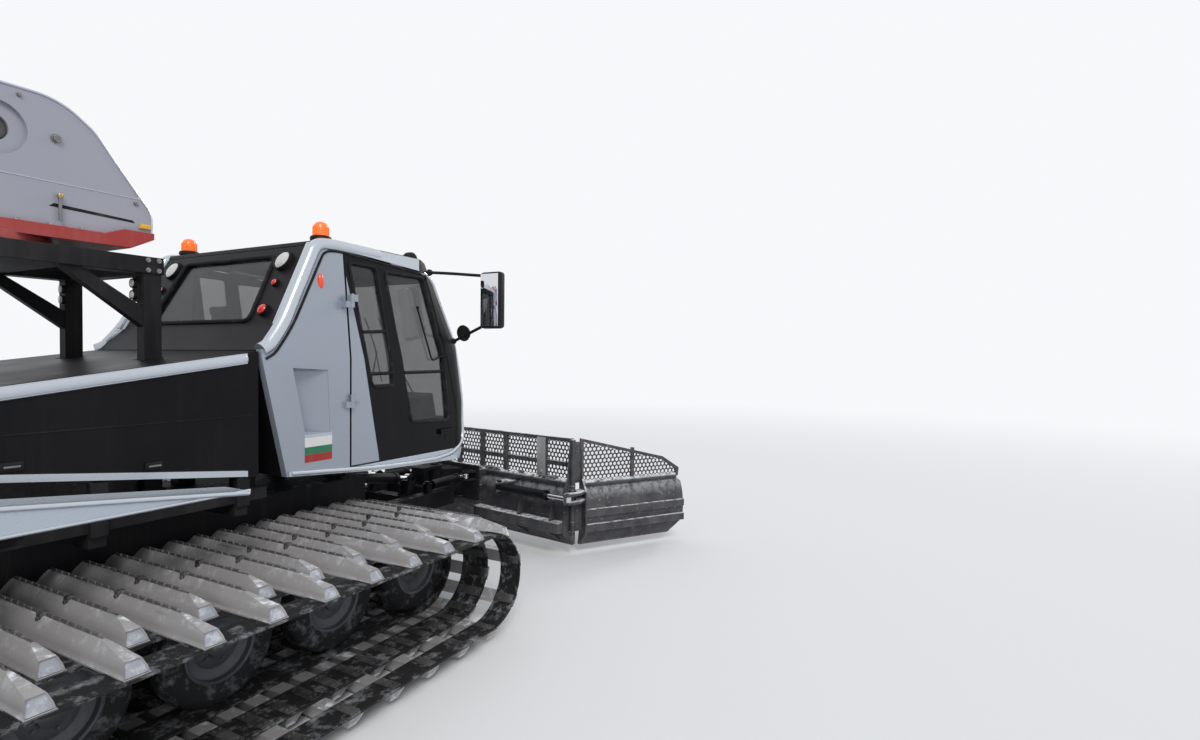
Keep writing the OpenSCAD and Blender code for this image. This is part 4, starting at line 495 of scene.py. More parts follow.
def rounded_copy(node, material, width, segments=2):
    bm = merged_copy(node)
    mesh = bpy.data.meshes.new(node + "_rounded")
    bm.to_mesh(mesh)
    bm.free()
    if "custom_normal" in mesh.attributes:
        mesh.attributes.remove(mesh.attributes["custom_normal"])
    for polygon in mesh.polygons:
        polygon.material_index = 0
    mesh.shade_smooth()
    mesh.set_sharp_from_angle(angle=SHARP)
    piece = link_piece(mesh, node + "_rounded", BODY_OF[node], material, [node])
    bevel = piece.modifiers.new("broken_edges", "BEVEL")
    bevel.width = width
    bevel.segments = segments
    bevel.limit_method = "ANGLE"
    bevel.angle_limit = SHARP
    bevel.harden_normals = True
    return piece


# %% Rounded copies of the CAD nodes
# columns: node, finish, width of the rounded edge in metres
ROUNDED = [
    ("tub", frame_paint, 0.010), ("deck", frame_paint, 0.004), ("running_gear", dark_steel, 0.005),
    ("sprockets", dark_steel, 0.004), ("fenders", trim_paint, 0.012),
    ("engine_cover", black_paint, 0.012), ("portal_frame", frame_paint, 0.006),
    ("cab_floor", trim_paint, 0.008), ("cab_sides", panel_paint, 0.006),
    ("cab_rear", black_paint, 0.012), ("cab_roof", black_paint, 0.020),
    ("cab_front", black_paint, 0.010), ("door_left", gloss_black, 0.006),
    ("door_right", gloss_black, 0.006), ("dashboard", black_plastic, 0.012),
    ("winch_base", red_paint, 0.008), ("winch_plates", winch_paint, 0.006),
    ("winch_boom", winch_paint, 0.005), ("boom_pulley", steel, 0.004),
    ("lift_arms", frame_paint, 0.006), ("swivel_head", frame_paint, 0.006),
    ("blade", blade_paint, 0.005), ("wing_left", blade_paint, 0.004),
    ("wing_right", blade_paint, 0.004), ("tiller_frame", frame_paint, 0.006),
    ("tiller_hood", red_paint, 0.004), ("tiller_rotor", steel, 0.003), ("engine", cast_iron, 0.020),
]
for work in ("lift", "tiller", "angle", "wing"):
    for side in (("s",) if work in ("lift", "tiller") else ("_left", "_right")):
        ROUNDED.append((f"{work}_barrel{side}", black_paint, 0.003))
        ROUNDED.append((f"{work}_rod{side}", rod_chrome, 0.002))
for node, material, width in ROUNDED:
    rounded_copy(node, material, width)
print(len(ROUNDED), "nodes rounded")

# Thin sheets of glass stay as they are and get a new finish only
PANES_OF_GLASS = ("cab_glass", "door_left_glass", "door_right_glass")
for node in PANES_OF_GLASS:
    mesh = nodes[node].data
    mesh.materials.clear()
    mesh.materials.append(window_glass)
print(len(PANES_OF_GLASS), "glass nodes repainted")

# %% [markdown]
# ## The track's path
# A belt is pulled tight round three circles: the front wheel, the sprocket and the last road wheel.
# Sixty-four cross bars sit on it at equal distances. The path is the same that the CAD model uses,
# worked out again from the three circles, so that each detailed bar lands on its plain one.

# %% Stations round the loop
LOOP_R = 0.323
BELT_T = 0.014
BAR_COUNT = 64
# columns: x, z of the circles' centres
CIRCLES = [(1.097, 0.433), (-2.540, 0.455), (-1.783, 0.433)]
# columns: inner and outer edge of each belt
BELTS = [(0.700, 0.870), (0.930, 1.110), (1.230, 1.460), (1.580, 1.810), (1.930, 2.100)]
MIDDLE_BELT = 2


def loop_segments():
    """Arcs and straight runs in turn: length, circle's centre, facing, and the run's way or None."""
    centres = [Vector(c) for c in CIRCLES]
    facings = []
    for here, there in zip(centres, centres[1:] + centres[:1]):
        way = there - here
        facings.append(math.atan2(way.y, way.x) - math.pi / 2)
    segments = []
    for i, centre in enumerate(centres):
        start, end = facings[i - 1], facings[i]
        sweep = (end - start) % math.tau
        segments.append((LOOP_R * sweep, centre, start, None))
        way = centres[(i + 1) % 3] - centre
        segments.append((way.length, centre, facings[i], way.normalized()))
    return segments


SEGMENTS = loop_segments()
loop_length = sum(segment[0] for segment in SEGMENTS)


def station(distance):
    """The point of the loop's outside after a distance, and the angle it faces."""
    for length, centre, facing, way in SEGMENTS:
        if distance < length:
            if way is None:
                facing = facing + distance / LOOP_R
            outward = Vector((math.cos(facing), math.sin(facing)))
            point = centre + outward * LOOP_R + (way * distance if way else Vector((0, 0)))
            return point, facing
        distance -= length
    return station(0.0)


def station_place(distance):
    """A matrix that takes +Z to the loop's outward side, +X along the belt and leaves Y alone."""
    point, facing = station(distance)
    turn = Matrix.Rotation(math.pi / 2 - facing, 4, "Y")
    return Matrix.Translation((point.x, 0.0, point.y)) @ turn


pitch = loop_length / BAR_COUNT
LONG_PLACES = [station_place(k * pitch) for k in range(0, BAR_COUNT, 2)]
SHORT_PLACES = [station_place(k * pitch) for k in range(1, BAR_COUNT, 2)]
print("loop", round(loop_length, 3), "m, pitch", round(pitch, 4), "m")

# %% [markdown]
# ## Joining parts
# A piece is put together from small parts. Each is made in a bmesh of its own, where an operator can
# take hold of all its edges, and is then joined to the piece, once or at several places. Most parts
# need the same two steps: a bevel of their edges and a push of a face along a way.

# %% Helpers for joining parts
bench = bpy.data.meshes.new("bench")


def join(bm, part, places=(Matrix(),), material=0):
    """Adds a finished part to a bmesh, once for each place, and frees the part."""
    for face in part.faces:
        face.material_index = material or face.material_index
    part.to_mesh(bench)
    part.free()
    for place in places:
        bench.transform(place)
        bm.from_mesh(bench)
        bench.transform(place.inverted())


def bevel_all(part, edges, offset, segments=2):
    bmesh.ops.bevel(part, geom=edges, offset=offset, segments=segments, profile=0.5,
                    affect="EDGES", material=-1)


def push_faces(part, faces, way):
    """Extrudes faces along a vector."""
    grown = bmesh.ops.extrude_face_region(part, geom=faces)["geom"]
    far_side = [g for g in grown if isinstance(g, bmesh.types.BMVert)]
    bmesh.ops.translate(part, vec=way, verts=far_side)


trial = bmesh.new()
bmesh.ops.create_grid(trial, x_segments=1, y_segments=1, size=1.0)
push_faces(trial, trial.faces[:], (0.0, 0.0, 1.0))
print("a face that is pushed becomes a block of", len(trial.faces), "faces")
trial.free()

# %% [markdown]
# ## Blocks and round bars
# A block is a cube, stretched between two corners, with its edges rounded. A round bar is a cone
# whose two radii are alike, laid along the line between its ends; where it tapers, they differ.

# %% Helpers for blocks and bars
def add_block(bm, low, high, rounding=0.0, places=(Matrix(),), material=0):
    low, high = Vector(low), Vector(high)
    part = bmesh.new()
    size = Matrix.Diagonal((*(high - low), 1.0))
    bmesh.ops.create_cube(part, size=1.0, matrix=Matrix.Translation((low + high) / 2) @ size)
    if rounding:
        bevel_all(part, part.edges[:], rounding)
    join(bm, part, places, material)


def along_line(start, end):
    start, end = Vector(start), Vector(end)
    turned = (end - start).to_track_quat("Z", "Y").to_matrix().to_4x4()
    return Matrix.Translation((start + end) / 2) @ turned, (end - start).length


def add_bar(bm, start, end, radius, sides=20, end_radius=None, rounding=0.0, places=(Matrix(),),
            material=0):
    place, length = along_line(start, end)
    part = bmesh.new()
    far_radius = radius if end_radius is None else end_radius
    bmesh.ops.create_cone(part, cap_ends=True, segments=sides, radius1=radius, radius2=far_radius,
                          depth=length, matrix=place)
    if rounding:
        rims = {edge for face in part.faces if len(face.verts) == sides for edge in face.edges}
        bevel_all(part, [edge for edge in part.edges if edge in rims], rounding, 3)
    join(bm, part, places, material)


trial = bmesh.new()
add_block(trial, (0, 0, 0), (1, 1, 1), rounding=0.1)
print("a rounded block has", len(trial.faces), "faces")
trial.free()

# %% [markdown]
# ## Cross bars
# The bars are drawn aluminium tents: a wide foot, hollow flanks and a narrow ridge that carries a
# notched steel strip. The ridge slopes down towards a blunt end that is packed with snow. Long and
# short bars alternate. Each kind is modelled once: an outline is extruded and bisected by three
# slanted planes, and the sawn ends are inset and pushed in. Then it is joined in at thirty-two
# stations.

# %% One cross bar
BAR_H = 0.096
RIDGE_TOP = 0.1095
# Right half of the section: distance from the middle, height
BAR_HALF = [(0.046, 0.0), (0.046, 0.007), (0.0425, 0.011), (0.040, 0.030), (0.030, 0.058),
            (0.0105, 0.092), (0.006, BAR_H)]
BAR_INNER = 0.640
SNOW_RIM, SNOW_DEPTH = 0.0045, 0.012
NOTCH, NOTCH_GAP = 0.062, 0.014
# The piece's materials after the bar's own, which is number 0
STRIP, SNOW, PLATE = 1, 2, 3
snow_pack = make_rubber("snow_pack", (0.34, 0.36, 0.41), 30.0, 0.9)


def bar_shape(tip, slope):
    part = bmesh.new()
    outline = BAR_HALF + [(-x, z) for x, z in reversed(BAR_HALF)]
    corners = [part.verts.new((x, BAR_INNER, z)) for x, z in outline]
    push_faces(part, [part.faces.new(corners)], (0, tip - BAR_INNER, 0))
    # columns: a point on the saw's plane, the plane's outward normal, whether the end is open there
    cuts = [((0, tip - 0.032, 0.062), (0, BAR_H - 0.062, slope - 0.032), False),
            ((0, tip, 0.008), (0, 0.054, 0.032), True),
            ((0, BAR_INNER, 0.0), (0, -BAR_H, 0.060), True)]
    for point, normal, is_open in cuts:
        bmesh.ops.bisect_plane(part, geom=part.verts[:] + part.edges[:] + part.faces[:], dist=1e-5,
                               plane_co=point, plane_no=normal, clear_outer=True)
        rim = [edge for edge in part.edges if edge.is_boundary]
        sawn = bmesh.ops.contextual_create(part, geom=rim)["faces"]
        if not is_open:
            continue
        bmesh.ops.inset_region(part, faces=sawn, thickness=SNOW_RIM, depth=0.0)
        inward = -Vector(normal).normalized() * SNOW_DEPTH
        bmesh.ops.translate(part, vec=inward, verts=list({v for face in sawn for v in face.verts}))
        for face in sawn:
            face.material_index = SNOW
    bmesh.ops.recalc_face_normals(part, faces=part.faces)
    return part


trial = bar_shape(2.098, 0.240)
print("the bare bar has", len(trial.faces), "faces")
trial.free()

# %% All cross bars of a track
def add_cross_bars(bm, tip, slope, places, clamp_y):
    join(bm, bar_shape(tip, slope), places)
    strip_end = tip - slope
    add_block(bm, (-0.0035, BAR_INNER + 0.075, BAR_H - 0.012), (0.0035, strip_end, BAR_H + 0.004),
              places=places, material=STRIP)
    teeth = bmesh.new()
    for i in range(int((strip_end - BAR_INNER - 0.10) / NOTCH)):
        y = BAR_INNER + 0.085 + i * NOTCH
        add_block(teeth, (-0.0035, y, BAR_H + 0.002), (0.0035, y + NOTCH - NOTCH_GAP, RIDGE_TOP),
                  material=STRIP)
    join(bm, teeth, places)
    # The clamp with its ice spike, and the plate under the tip
    add_block(bm, (-0.017, clamp_y - 0.020, BAR_H - 0.040), (0.017, clamp_y + 0.020, RIDGE_TOP - 0.001),
              rounding=0.004, places=places, material=PLATE)
    add_bar(bm, (-0.024, clamp_y, BAR_H - 0.012), (0.024, clamp_y, BAR_H - 0.012), 0.009, 8,
            places=places, material=PLATE)
    add_block(bm, (-0.048, tip - 0.14, -0.001), (0.048, tip + 0.001, 0.006), rounding=0.002,
              places=places, material=PLATE)


for side, mirror in FROM_LEFT:
    bm = bmesh.new()
    add_cross_bars(bm, 2.098, 0.240, [mirror @ place for place in LONG_PLACES], 1.37)
    add_cross_bars(bm, 1.810, 0.150, [mirror @ place for place in SHORT_PLACES], 1.25)
    finish_piece(bm, f"cross_bars_{side}", "hull", [aluminium, steel, snow_pack, dark_steel],
                 [f"grousers_{side}"])

# %% [markdown]
# ## Belts
# Five rubber belts carry the bars. Each is bolted to every bar through a steel backing plate on its
# inner face. A belt starts as a straight strip of the loop's length, cut into short steps, and each
# of its points is then moved to its station on the path, where the two ends are merged.

# %% Belts
STEPS_PER_BAR = 4


def add_belt(bm, inner, outer):
    """A straight strip of the loop's length, wrapped round the path until its two ends meet."""
    part = bmesh.new()
    flat = Matrix.Translation((loop_length / 2, (inner + outer) / 2, 0.0))
    flat @= Matrix.Diagonal((loop_length / 2, (outer - inner) / 2, 1.0, 1.0))
    bmesh.ops.create_grid(part, x_segments=BAR_COUNT * STEPS_PER_BAR, y_segments=1, size=1.0, matrix=flat)
    push_faces(part, part.faces[:], (0.0, 0.0, -BELT_T))
    ends = [face for face in part.faces if len({round(vert.co.x, 4) for vert in face.verts}) == 1]
    bmesh.ops.delete(part, geom=ends, context="FACES_ONLY")
    for vert in part.verts:
        vert.co = station_place(vert.co.x) @ Vector((0.0, vert.co.y, vert.co.z))
    bmesh.ops.remove_doubles(part, verts=part.verts, dist=1e-4)
    bmesh.ops.recalc_face_normals(part, faces=part.faces)
    rims = [edge for edge in part.edges if edge.calc_face_angle(0.0) > math.radians(60)]
    bevel_all(part, rims, 0.003, 1)
    join(bm, part)


for side, mirror in FROM_LEFT:
    bm = bmesh.new()
    for inner, outer in BELTS:
        add_belt(bm, inner, outer)
    bmesh.ops.transform(bm, matrix=mirror, verts=bm.verts)
    finish_piece(bm, f"belt_strips_{side}", "hull", belt_rubber, [f"belts_{side}"])

# %% Backing plates and their bolts
PLATE_HALF = 0.030
for side, mirror in FROM_LEFT:
    bm = bmesh.new()
    places = [mirror @ place for place in LONG_PLACES + SHORT_PLACES]
    for index, (inner, outer) in enumerate(BELTS):
        if index == MIDDLE_BELT:
            continue
        # The outermost belt lies beyond the short bars
        plates = places if index < len(BELTS) - 1 else [mirror @ place for place in LONG_PLACES]
        low, high = -BELT_T - 0.006, -BELT_T + 0.001
        add_block(bm, (-PLATE_HALF, inner + 0.012, low), (PLATE_HALF, outer - 0.012, high),
                  rounding=0.0015, places=plates)
        for y in (inner + 0.045, outer - 0.045):
            for x in (-0.014, 0.014):
                add_bar(bm, (x, y, low + 0.001), (x, y, low - 0.007), 0.008, 6, places=plates)
    finish_piece(bm, f"belt_plates_{side}", "hull", dark_steel)

# %% [markdown]
# ## Turned shapes and bolts
# Tyres, lamps, knobs and the wound drum are all round, so each is a profile spun about an axis, as a
# lathe would turn it. Spin joins its last step to its first, and remove_doubles closes the poles.

# %% Helpers for turned shapes and bolts
def add_turned(bm, profile, centre, axis, sides, places=(Matrix(),), material=0):
    """A turned shape: a profile of (radius, height) pairs spun round an axis through the centre."""
    part = bmesh.new()
    chain = [part.verts.new((radius, 0.0, height)) for radius, height in profile]
    edges = [part.edges.new(pair) for pair in zip(chain, chain[1:])]
    bmesh.ops.spin(part, geom=chain + edges, cent=(0, 0, 0), axis=(0, 0, 1), dvec=(0, 0, 0),
                   angle=math.tau, steps=sides, use_merge=True, use_duplicate=False)
    bmesh.ops.remove_doubles(part, verts=part.verts, dist=1e-5)
    turned = Vector(axis).to_track_quat("Z", "Y").to_matrix().to_4x4()
    bmesh.ops.transform(part, matrix=Matrix.Translation(centre) @ turned, verts=part.verts)
    join(bm, part, places, material)


def add_bolt(bm, spot, axis, radius=0.012, places=(Matrix(),), material=0):
    """A washer and a hexagonal head."""
    spot, axis = Vector(spot), Vector(axis).normalized()
    washer, head = spot + axis * radius * 0.3, spot + axis * radius * 1.1
    add_bar(bm, spot - axis * 0.002, washer, radius * 1.4, 12, places=places, material=material)
    add_bar(bm, spot, head, radius, 6, places=places, material=material)


trial = bmesh.new()
add_bolt(trial, (0, 0, 0), (0, 0, 1))
print("a bolt with its washer has", len(trial.faces), "faces")
trial.free()

# %% [markdown]
# ## Wheels
# The road wheels are small air-filled tyres on pressed rims. A profile of the tyre, with its ribs and
# its bead, is spun round the axle; the rim is a second profile, dished, with five bolts and a hub cap.

# %% Tyres and rims
WHEEL_X = [1.097, 0.377, -0.343, -1.063, -1.783]
AXLE_Z = 0.433
WHEEL_Y = 1.345
TYRE_R = 0.3085
RIM_R = 0.180
# columns: radius, distance from the wheel's middle
TYRE_PROFILE = [
    (RIM_R, -0.056), (RIM_R + 0.010, -0.066), (0.225, -0.073), (0.262, -0.075), (0.282, -0.070),
    (0.297, -0.058), (0.3060, -0.046), (TYRE_R, -0.034), (TYRE_R, -0.018), (TYRE_R - 0.006, -0.015),
    (TYRE_R - 0.006, -0.010), (TYRE_R, -0.007),
]
TYRE_PROFILE = TYRE_PROFILE + [(radius, -depth) for radius, depth in reversed(TYRE_PROFILE)]
RIM_PROFILE = [
    (RIM_R + 0.012, 0.064), (RIM_R + 0.002, 0.067), (RIM_R - 0.006, 0.060), (RIM_R - 0.010, 0.030),
    (RIM_R - 0.030, 0.018), (0.120, 0.014), (0.095, 0.030), (0.060, 0.032), (0.057, 0.056),
    (0.040, 0.066), (0.0, 0.068),
]
RIM_BACK = [(RIM_R + 0.004, -0.060), (RIM_R - 0.012, -0.040), (0.10, -0.010), (0.0, -0.010)]
WHEEL_BOLTS = 5
AXLE_WAY = (0, 1, 0)
for side, mirror in FROM_LEFT:
    tyres, rims = bmesh.new(), bmesh.new()
    places = [mirror @ Matrix.Translation((x, WHEEL_Y, AXLE_Z)) for x in WHEEL_X]
    add_turned(tyres, TYRE_PROFILE, (0, 0, 0), AXLE_WAY, 40, places=places)
    add_turned(rims, RIM_PROFILE, (0, 0, 0), AXLE_WAY, 32, places=places)
    add_turned(rims, RIM_BACK, (0, 0, 0), AXLE_WAY, 32, places=places)
    for k in range(WHEEL_BOLTS):
        angle = math.tau * k / WHEEL_BOLTS
        spot = (0.078 * math.cos(angle), 0.031, 0.078 * math.sin(angle))
        add_bolt(rims, spot, AXLE_WAY, 0.009, places=places)
    finish_piece(tyres, f"tyres_{side}", "hull", tyre_rubber, [f"wheels_{side}"])
    finish_piece(rims, f"rims_{side}", "hull", shaded_rim_paint)

# %% [markdown]
# ## Points on the cab
# The cab's side stands upright to its waist and leans in above it. Pieces that lie on it are drawn
# flat, as x and z, and then laid on this skin, a little below or above it. The rear wall leans too,
# and the nose is a bent sheet with rounded corners.

# %% The cab's faces
CAB_HALF = 1.0
WAIST = 1.955
SIDE_LEAN = 0.09 / 0.905
# The rear wall: x and z of a point on it, x gained for each metre of height, its outward direction
REAR_X, REAR_Z = 0.338, 2.175
REAR_LEAN = 0.519
REAR_OUT = Vector((-0.8876, 0.0, 0.4607))
CORNER_R = 0.21
# The nose's round corners are a little longer than they are wide
CORNER_STRETCH = 1.07
# columns: x, z of the nose in the middle plane, from the chin to the roof
NOSE = [(2.061, 1.066), (2.222, 1.215), (2.217, 1.580), (2.120, 2.100), (1.841, 2.718)]


def skin_y(z):
    return CAB_HALF - max(0.0, z - WAIST) * SIDE_LEAN


def nose_x(z):
    return float(np.interp(z, [point[1] for point in NOSE], [point[0] for point in NOSE]))


def on_side(x, z, out=0.0):
    return Vector((x, -skin_y(z) - out, z))


def on_rear(y, z, out):
    return Vector((REAR_X + (z - REAR_Z) * REAR_LEAN, y, z)) + REAR_OUT * out


def on_nose(y, z, out):
    round_part = max(0.0, abs(y) - (skin_y(z) - CORNER_R))
    fallen_back = CORNER_R - math.sqrt(max(0.0, CORNER_R ** 2 - round_part ** 2))
    return Vector((nose_x(z) - fallen_back * CORNER_STRETCH + out, y, z))


def on_corner(z, turned, out):
    """A point on the nose's round corner, turned from the side by an angle in degrees."""
    angle = math.radians(turned)
    reach = CORNER_R + out
    x = nose_x(z) + (reach * math.sin(angle) - CORNER_R) * CORNER_STRETCH
    return Vector((x, CORNER_R - skin_y(z) - reach * math.cos(angle), z))


def closed(points):
    """The route of a pipe that runs round a window: it starts and ends halfway along one side."""
    middle = (points[0] + points[-1]) / 2
    return [middle, *points, middle]


print("the skin at the waist is", skin_y(WAIST), "m from the middle, at the roof",
      round(skin_y(2.860), 3), "m")

# %% [markdown]
# ## Pipes and sheets
# Tubes, gaskets, arms and ropes are pipes. A disc is set at the start of a route and its rim is
# extruded from point to point, turned half-way at each bend, so the pipe keeps its width. A sheet
# that lies on the cab is cut flat from its outline, split at the waist and then laid on the skin.

# %% Helpers for pipes
def rounded_route(points, bend, steps=5):
    """The points of a route whose inner corners are rounded over a length of bend."""
    points = [Vector(p) for p in points]
    route = [points[0]]
    for before, corner, after in zip(points, points[1:], points[2:]):
        reach = min(bend, (corner - before).length * 0.49, (after - corner).length * 0.49)
        enter = corner + (before - corner).normalized() * reach
        leave = corner + (after - corner).normalized() * reach
        for step in range(steps + 1):
            t = step / steps
            route.append(enter.lerp(corner, t).lerp(corner.lerp(leave, t), t))
    route.append(points[-1])
    return route


def next_ring(part, edges):
    """Extrudes a ring of edges on the spot: the new edges and their vertices."""
    grown = bmesh.ops.extrude_edge_only(part, edges=edges)["geom"]
    ring = [g for g in grown if isinstance(g, bmesh.types.BMVert)]
    corners = set(ring)
    edges = [g for g in grown if isinstance(g, bmesh.types.BMEdge) and corners.issuperset(g.verts)]
    return edges, ring


def add_pipe(bm, points, radius, sides, bend=0.06, steps=5, places=(Matrix(),), material=0,
             end=1.0):
    """A pipe along a route: a disc whose rim is extruded from point to point.

    end is the share of the radius that is left at the far end."""
    route = rounded_route(points, bend, steps)
    heading = (route[1] - route[0]).normalized()
    turned = heading.to_track_quat("Z", "Y").to_matrix().to_4x4()
    part = bmesh.new()
    bmesh.ops.create_circle(part, cap_ends=True, segments=sides, radius=radius,
                            matrix=Matrix.Translation(route[0]) @ turned)
    edges = part.edges[:]
    shrink = end ** (1.0 / (len(route) - 1))
    for index in range(1, len(route)):
        edges, ring = next_ring(part, edges)
        bmesh.ops.translate(part, vec=route[index] - route[index - 1], verts=ring)
        onward = (route[min(index + 1, len(route) - 1)] - route[index - 1]).normalized()
        bend_by = heading.rotation_difference(onward).to_matrix()
        bmesh.ops.rotate(part, cent=route[index], matrix=bend_by, verts=ring)
        bmesh.ops.scale(part, vec=(shrink,) * 3, space=Matrix.Translation(-route[index]), verts=ring)
        heading = onward
    bmesh.ops.contextual_create(part, geom=edges)
    join(bm, part, places, material)


elbow = rounded_route([(0, 0, 0), (1, 0, 0), (1, 1, 0)], 0.1)
print("a route with one corner has", len(elbow), "points")

# %% Helpers for plates and sheets
def plate_shape(outline, start, end):
    """An upright plate: an outline of (x, z) points, pushed crosswise from start to end."""
    part = bmesh.new()
    corners = [part.verts.new((x, start, z)) for x, z in outline]
    push_faces(part, [part.faces.new(corners)], (0.0, end - start, 0.0))
    return part


def add_plate(bm, outline, start, end, rounding=0.0, places=(Matrix(),), material=0):
    part = plate_shape(outline, start, end)
    if rounding:
        bevel_all(part, part.edges[:], rounding)
    join(bm, part, places, material)


def add_sheet(bm, outline, low, high, places=(Matrix(),), material=0):
    """A sheet laid on the cab's right side, between two heights above the skin."""
    part = plate_shape(outline, low, high)
    bmesh.ops.bisect_plane(part, geom=part.verts[:] + part.edges[:] + part.faces[:],
                           plane_co=(0.0, 0.0, WAIST), plane_no=(0.0, 0.0, 1.0))
    for vert in part.verts:
        vert.co.y = -skin_y(vert.co.z) - vert.co.y
    join(bm, part, places, material)


trial = bmesh.new()
add_sheet(trial, [(0.0, 1.5), (1.0, 1.5), (1.0, 2.5), (0.0, 2.5)], 0.0, 0.01)
print("a sheet across the waist has", len(trial.faces), "faces")
trial.free()

# %% [markdown]
# ## Doors
# Each door is black glass and black sheet in front, and body-coloured behind a slanting seam. Rubber
# gaskets hold the panes. The narrow pane has two sliding parts, hence its two bars, and the wide one
# opens at its foot. A thin stay holds it.

# %% Door fittings
# columns: x, z of each window's corners, as in the CAD model
PANES = [
    [(1.055, 1.742), (1.280, 1.740), (1.155, 2.650), (0.893, 2.655)],
    [(1.465, 1.438), (1.911, 1.421), (1.845, 1.947), (1.658, 2.628), (1.238, 2.627)],
]
# columns: x, z at the two ends of each bar across a pane
PANE_BARS = [
    ((0.985, 2.150), (1.224, 2.165)), ((1.040, 1.838), (1.268, 1.842)), ((1.392, 1.842), (1.858, 1.846)),
]
STAY = [(1.561, 2.373), (1.692, 1.937), (1.849, 1.990)]
HINGE_LEAF_X = 0.93
LEAF_LIFT = 0.004
PAINTED_CORNER = [(0.864, 1.178), (1.126, 1.178), (0.864, 2.552)]
for side, place in FROM_RIGHT:
    door = bpy.data.objects[f"door_{side}_rounded"].data
    door.materials.append(panel_paint)
    for face in door.polygons:
        x, y, z = face.center
        if x < HINGE_LEAF_X and abs(y) > skin_y(z) + LEAF_LIFT:
            face.material_index = 1
    bm = bmesh.new()
    for pane in PANES:
        rim = closed([on_side(x, z, 0.002) for x, z in pane])
        add_pipe(bm, rim, 0.0125, 8, bend=0.045, places=[place])
        inner = closed([on_side(x, z, -0.012) for x, z in pane])
        add_pipe(bm, inner, 0.018, 8, bend=0.045, places=[place])
    for start, end in PANE_BARS:
        add_pipe(bm, [on_side(*start, -0.004), on_side(*end, -0.004)], 0.013, 8, places=[place])
    add_sheet(bm, PAINTED_CORNER, 0.0004, 0.0026, places=[place], material=1)
    add_pipe(bm, [on_side(1.131, 1.176, 0.001), on_side(0.866, 2.566, 0.001)], 0.006, 8, places=[place])
    stay = [on_side(x, z, 0.010) for x, z in STAY]
    add_pipe(bm, stay, 0.008, 10, bend=0.03, places=[place], material=2)
    for x, z in STAY[::2]:
        add_bolt(bm, on_side(x, z, 0.012), (0, -1, 0), 0.010, places=[place], material=2)
    add_turned(bm, [(0.0, 0.006), (0.013, 0.006), (0.017, 0.0), (0.017, -0.006)],
               on_side(1.880, 1.275), (0, -1, 0), 20, [place], 2)
    finish_piece(bm, f"door_{side}_fittings", f"door_{side}",
                 [seal_rubber, panel_paint, black_plastic])

# %% [markdown]
# ## The bright frame round the cab
# A bent tube frames each side: it rises fat behind the rear lamps, turns into the edge of the roof,
# runs down the front post and back along the sill. The engine cover continues it with two strips.
# These are the lines that catch the light.

# %% Frame tubes and strips
# columns: x, z of each tube's route along the side
REAR_TUBE = [(0.178, 2.004), (0.232, 2.030), (0.345, 2.175), (0.640, 2.752), (0.780, 2.762), (1.200, 2.752)]
ROOF_TUBE = [(0.660, 2.760), (0.780, 2.764), (1.240, 2.755), (1.560, 2.750)]
# Heights of the front post's points, and below them columns: z, degrees round the lower corner
POST_Z = (2.340, 2.300, 2.090, 1.840, 1.600, 1.400)
FOOT_TURNS = ((1.310, 47), (1.225, 40), (1.162, 24), (1.128, 6))
SILL = [(1.800, 1.099), (1.135, 1.126), (0.370, 1.198)]
bm = bmesh.new()
rear = [on_side(x, z, -0.024) for x, z in REAR_TUBE]
add_pipe(bm, rear, 0.046, 20, bend=0.13, steps=8, places=LEFT_AND_RIGHT)
roof = [on_side(x, z, -0.022) for x, z in ROOF_TUBE]
add_pipe(bm, roof, 0.032, 16, bend=0.13, steps=8, places=LEFT_AND_RIGHT)
turn = [on_side(1.150, 2.728, -0.056), on_side(1.400, 2.718, -0.026), on_side(1.500, 2.712, -0.020)]
turn += [on_corner(2.650, 36, 0.002), on_corner(2.480, 46, 0.004), on_corner(2.300, 48, 0.004)]
add_pipe(bm, turn, 0.044, 18, bend=0.16, steps=8, places=LEFT_AND_RIGHT, end=0.42)
front = [on_corner(z, 48, 0.004) for z in POST_Z]
front += [on_corner(z, turned, 0.010) for z, turned in FOOT_TURNS]
front += [on_side(1.760, 1.110, 0.008), on_side(1.560, 1.112, 0.003)]
add_pipe(bm, front, 0.019, 14, bend=0.045, steps=4, places=LEFT_AND_RIGHT)
add_pipe(bm, [on_side(x, z, 0.002) for x, z in SILL], 0.019, 14, bend=0.3, places=LEFT_AND_RIGHT)
finish_piece(bm, "cab_frame_tubes", "hull", [bright_trim])

rounded_copy("trim", bright_trim, 0.005, 3)

# %% Gaskets of the cab
SCREEN = [(-0.920, 1.405), (0.920, 1.405), (0.830, 2.628), (-0.830, 2.628)]
REAR_WINDOW = [(-0.600, 2.205), (0.600, 2.205), (0.540, 2.682), (-0.540, 2.682)]
STEPS_A_SIDE = 12
bm = bmesh.new()
seal = [(0.196, 1.950), (0.262, 1.985), (0.398, 2.160), (0.690, 2.706), (0.800, 2.722), (1.640, 2.660)]
add_pipe(bm, [on_side(x, z, 0.001) for x, z in seal], 0.009, 8, bend=0.12, places=LEFT_AND_RIGHT)
add_pipe(bm, closed([on_rear(y, z, 0.001) for y, z in REAR_WINDOW]), 0.016, 8, bend=0.06)
screen_rim = []
for (y, z), (next_y, next_z) in zip(SCREEN, SCREEN[1:] + SCREEN[:1]):
    for step in range(STEPS_A_SIDE):
        share = step / STEPS_A_SIDE
        screen_rim.append(on_nose(y + (next_y - y) * share, z + (next_z - z) * share, -0.004))
add_pipe(bm, closed(screen_rim), 0.013, 8, bend=0.01, steps=1)
finish_piece(bm, "cab_gaskets", "hull", [seal_rubber])

# %% [markdown]
# ## Marks and small lenses on the fixed side
# Below the pressed scoop sit three painted stripes under a pale one, and beside the hinge line a
# tall side marker. Both sides carry the same. The stripes are films, a millimetre thick.

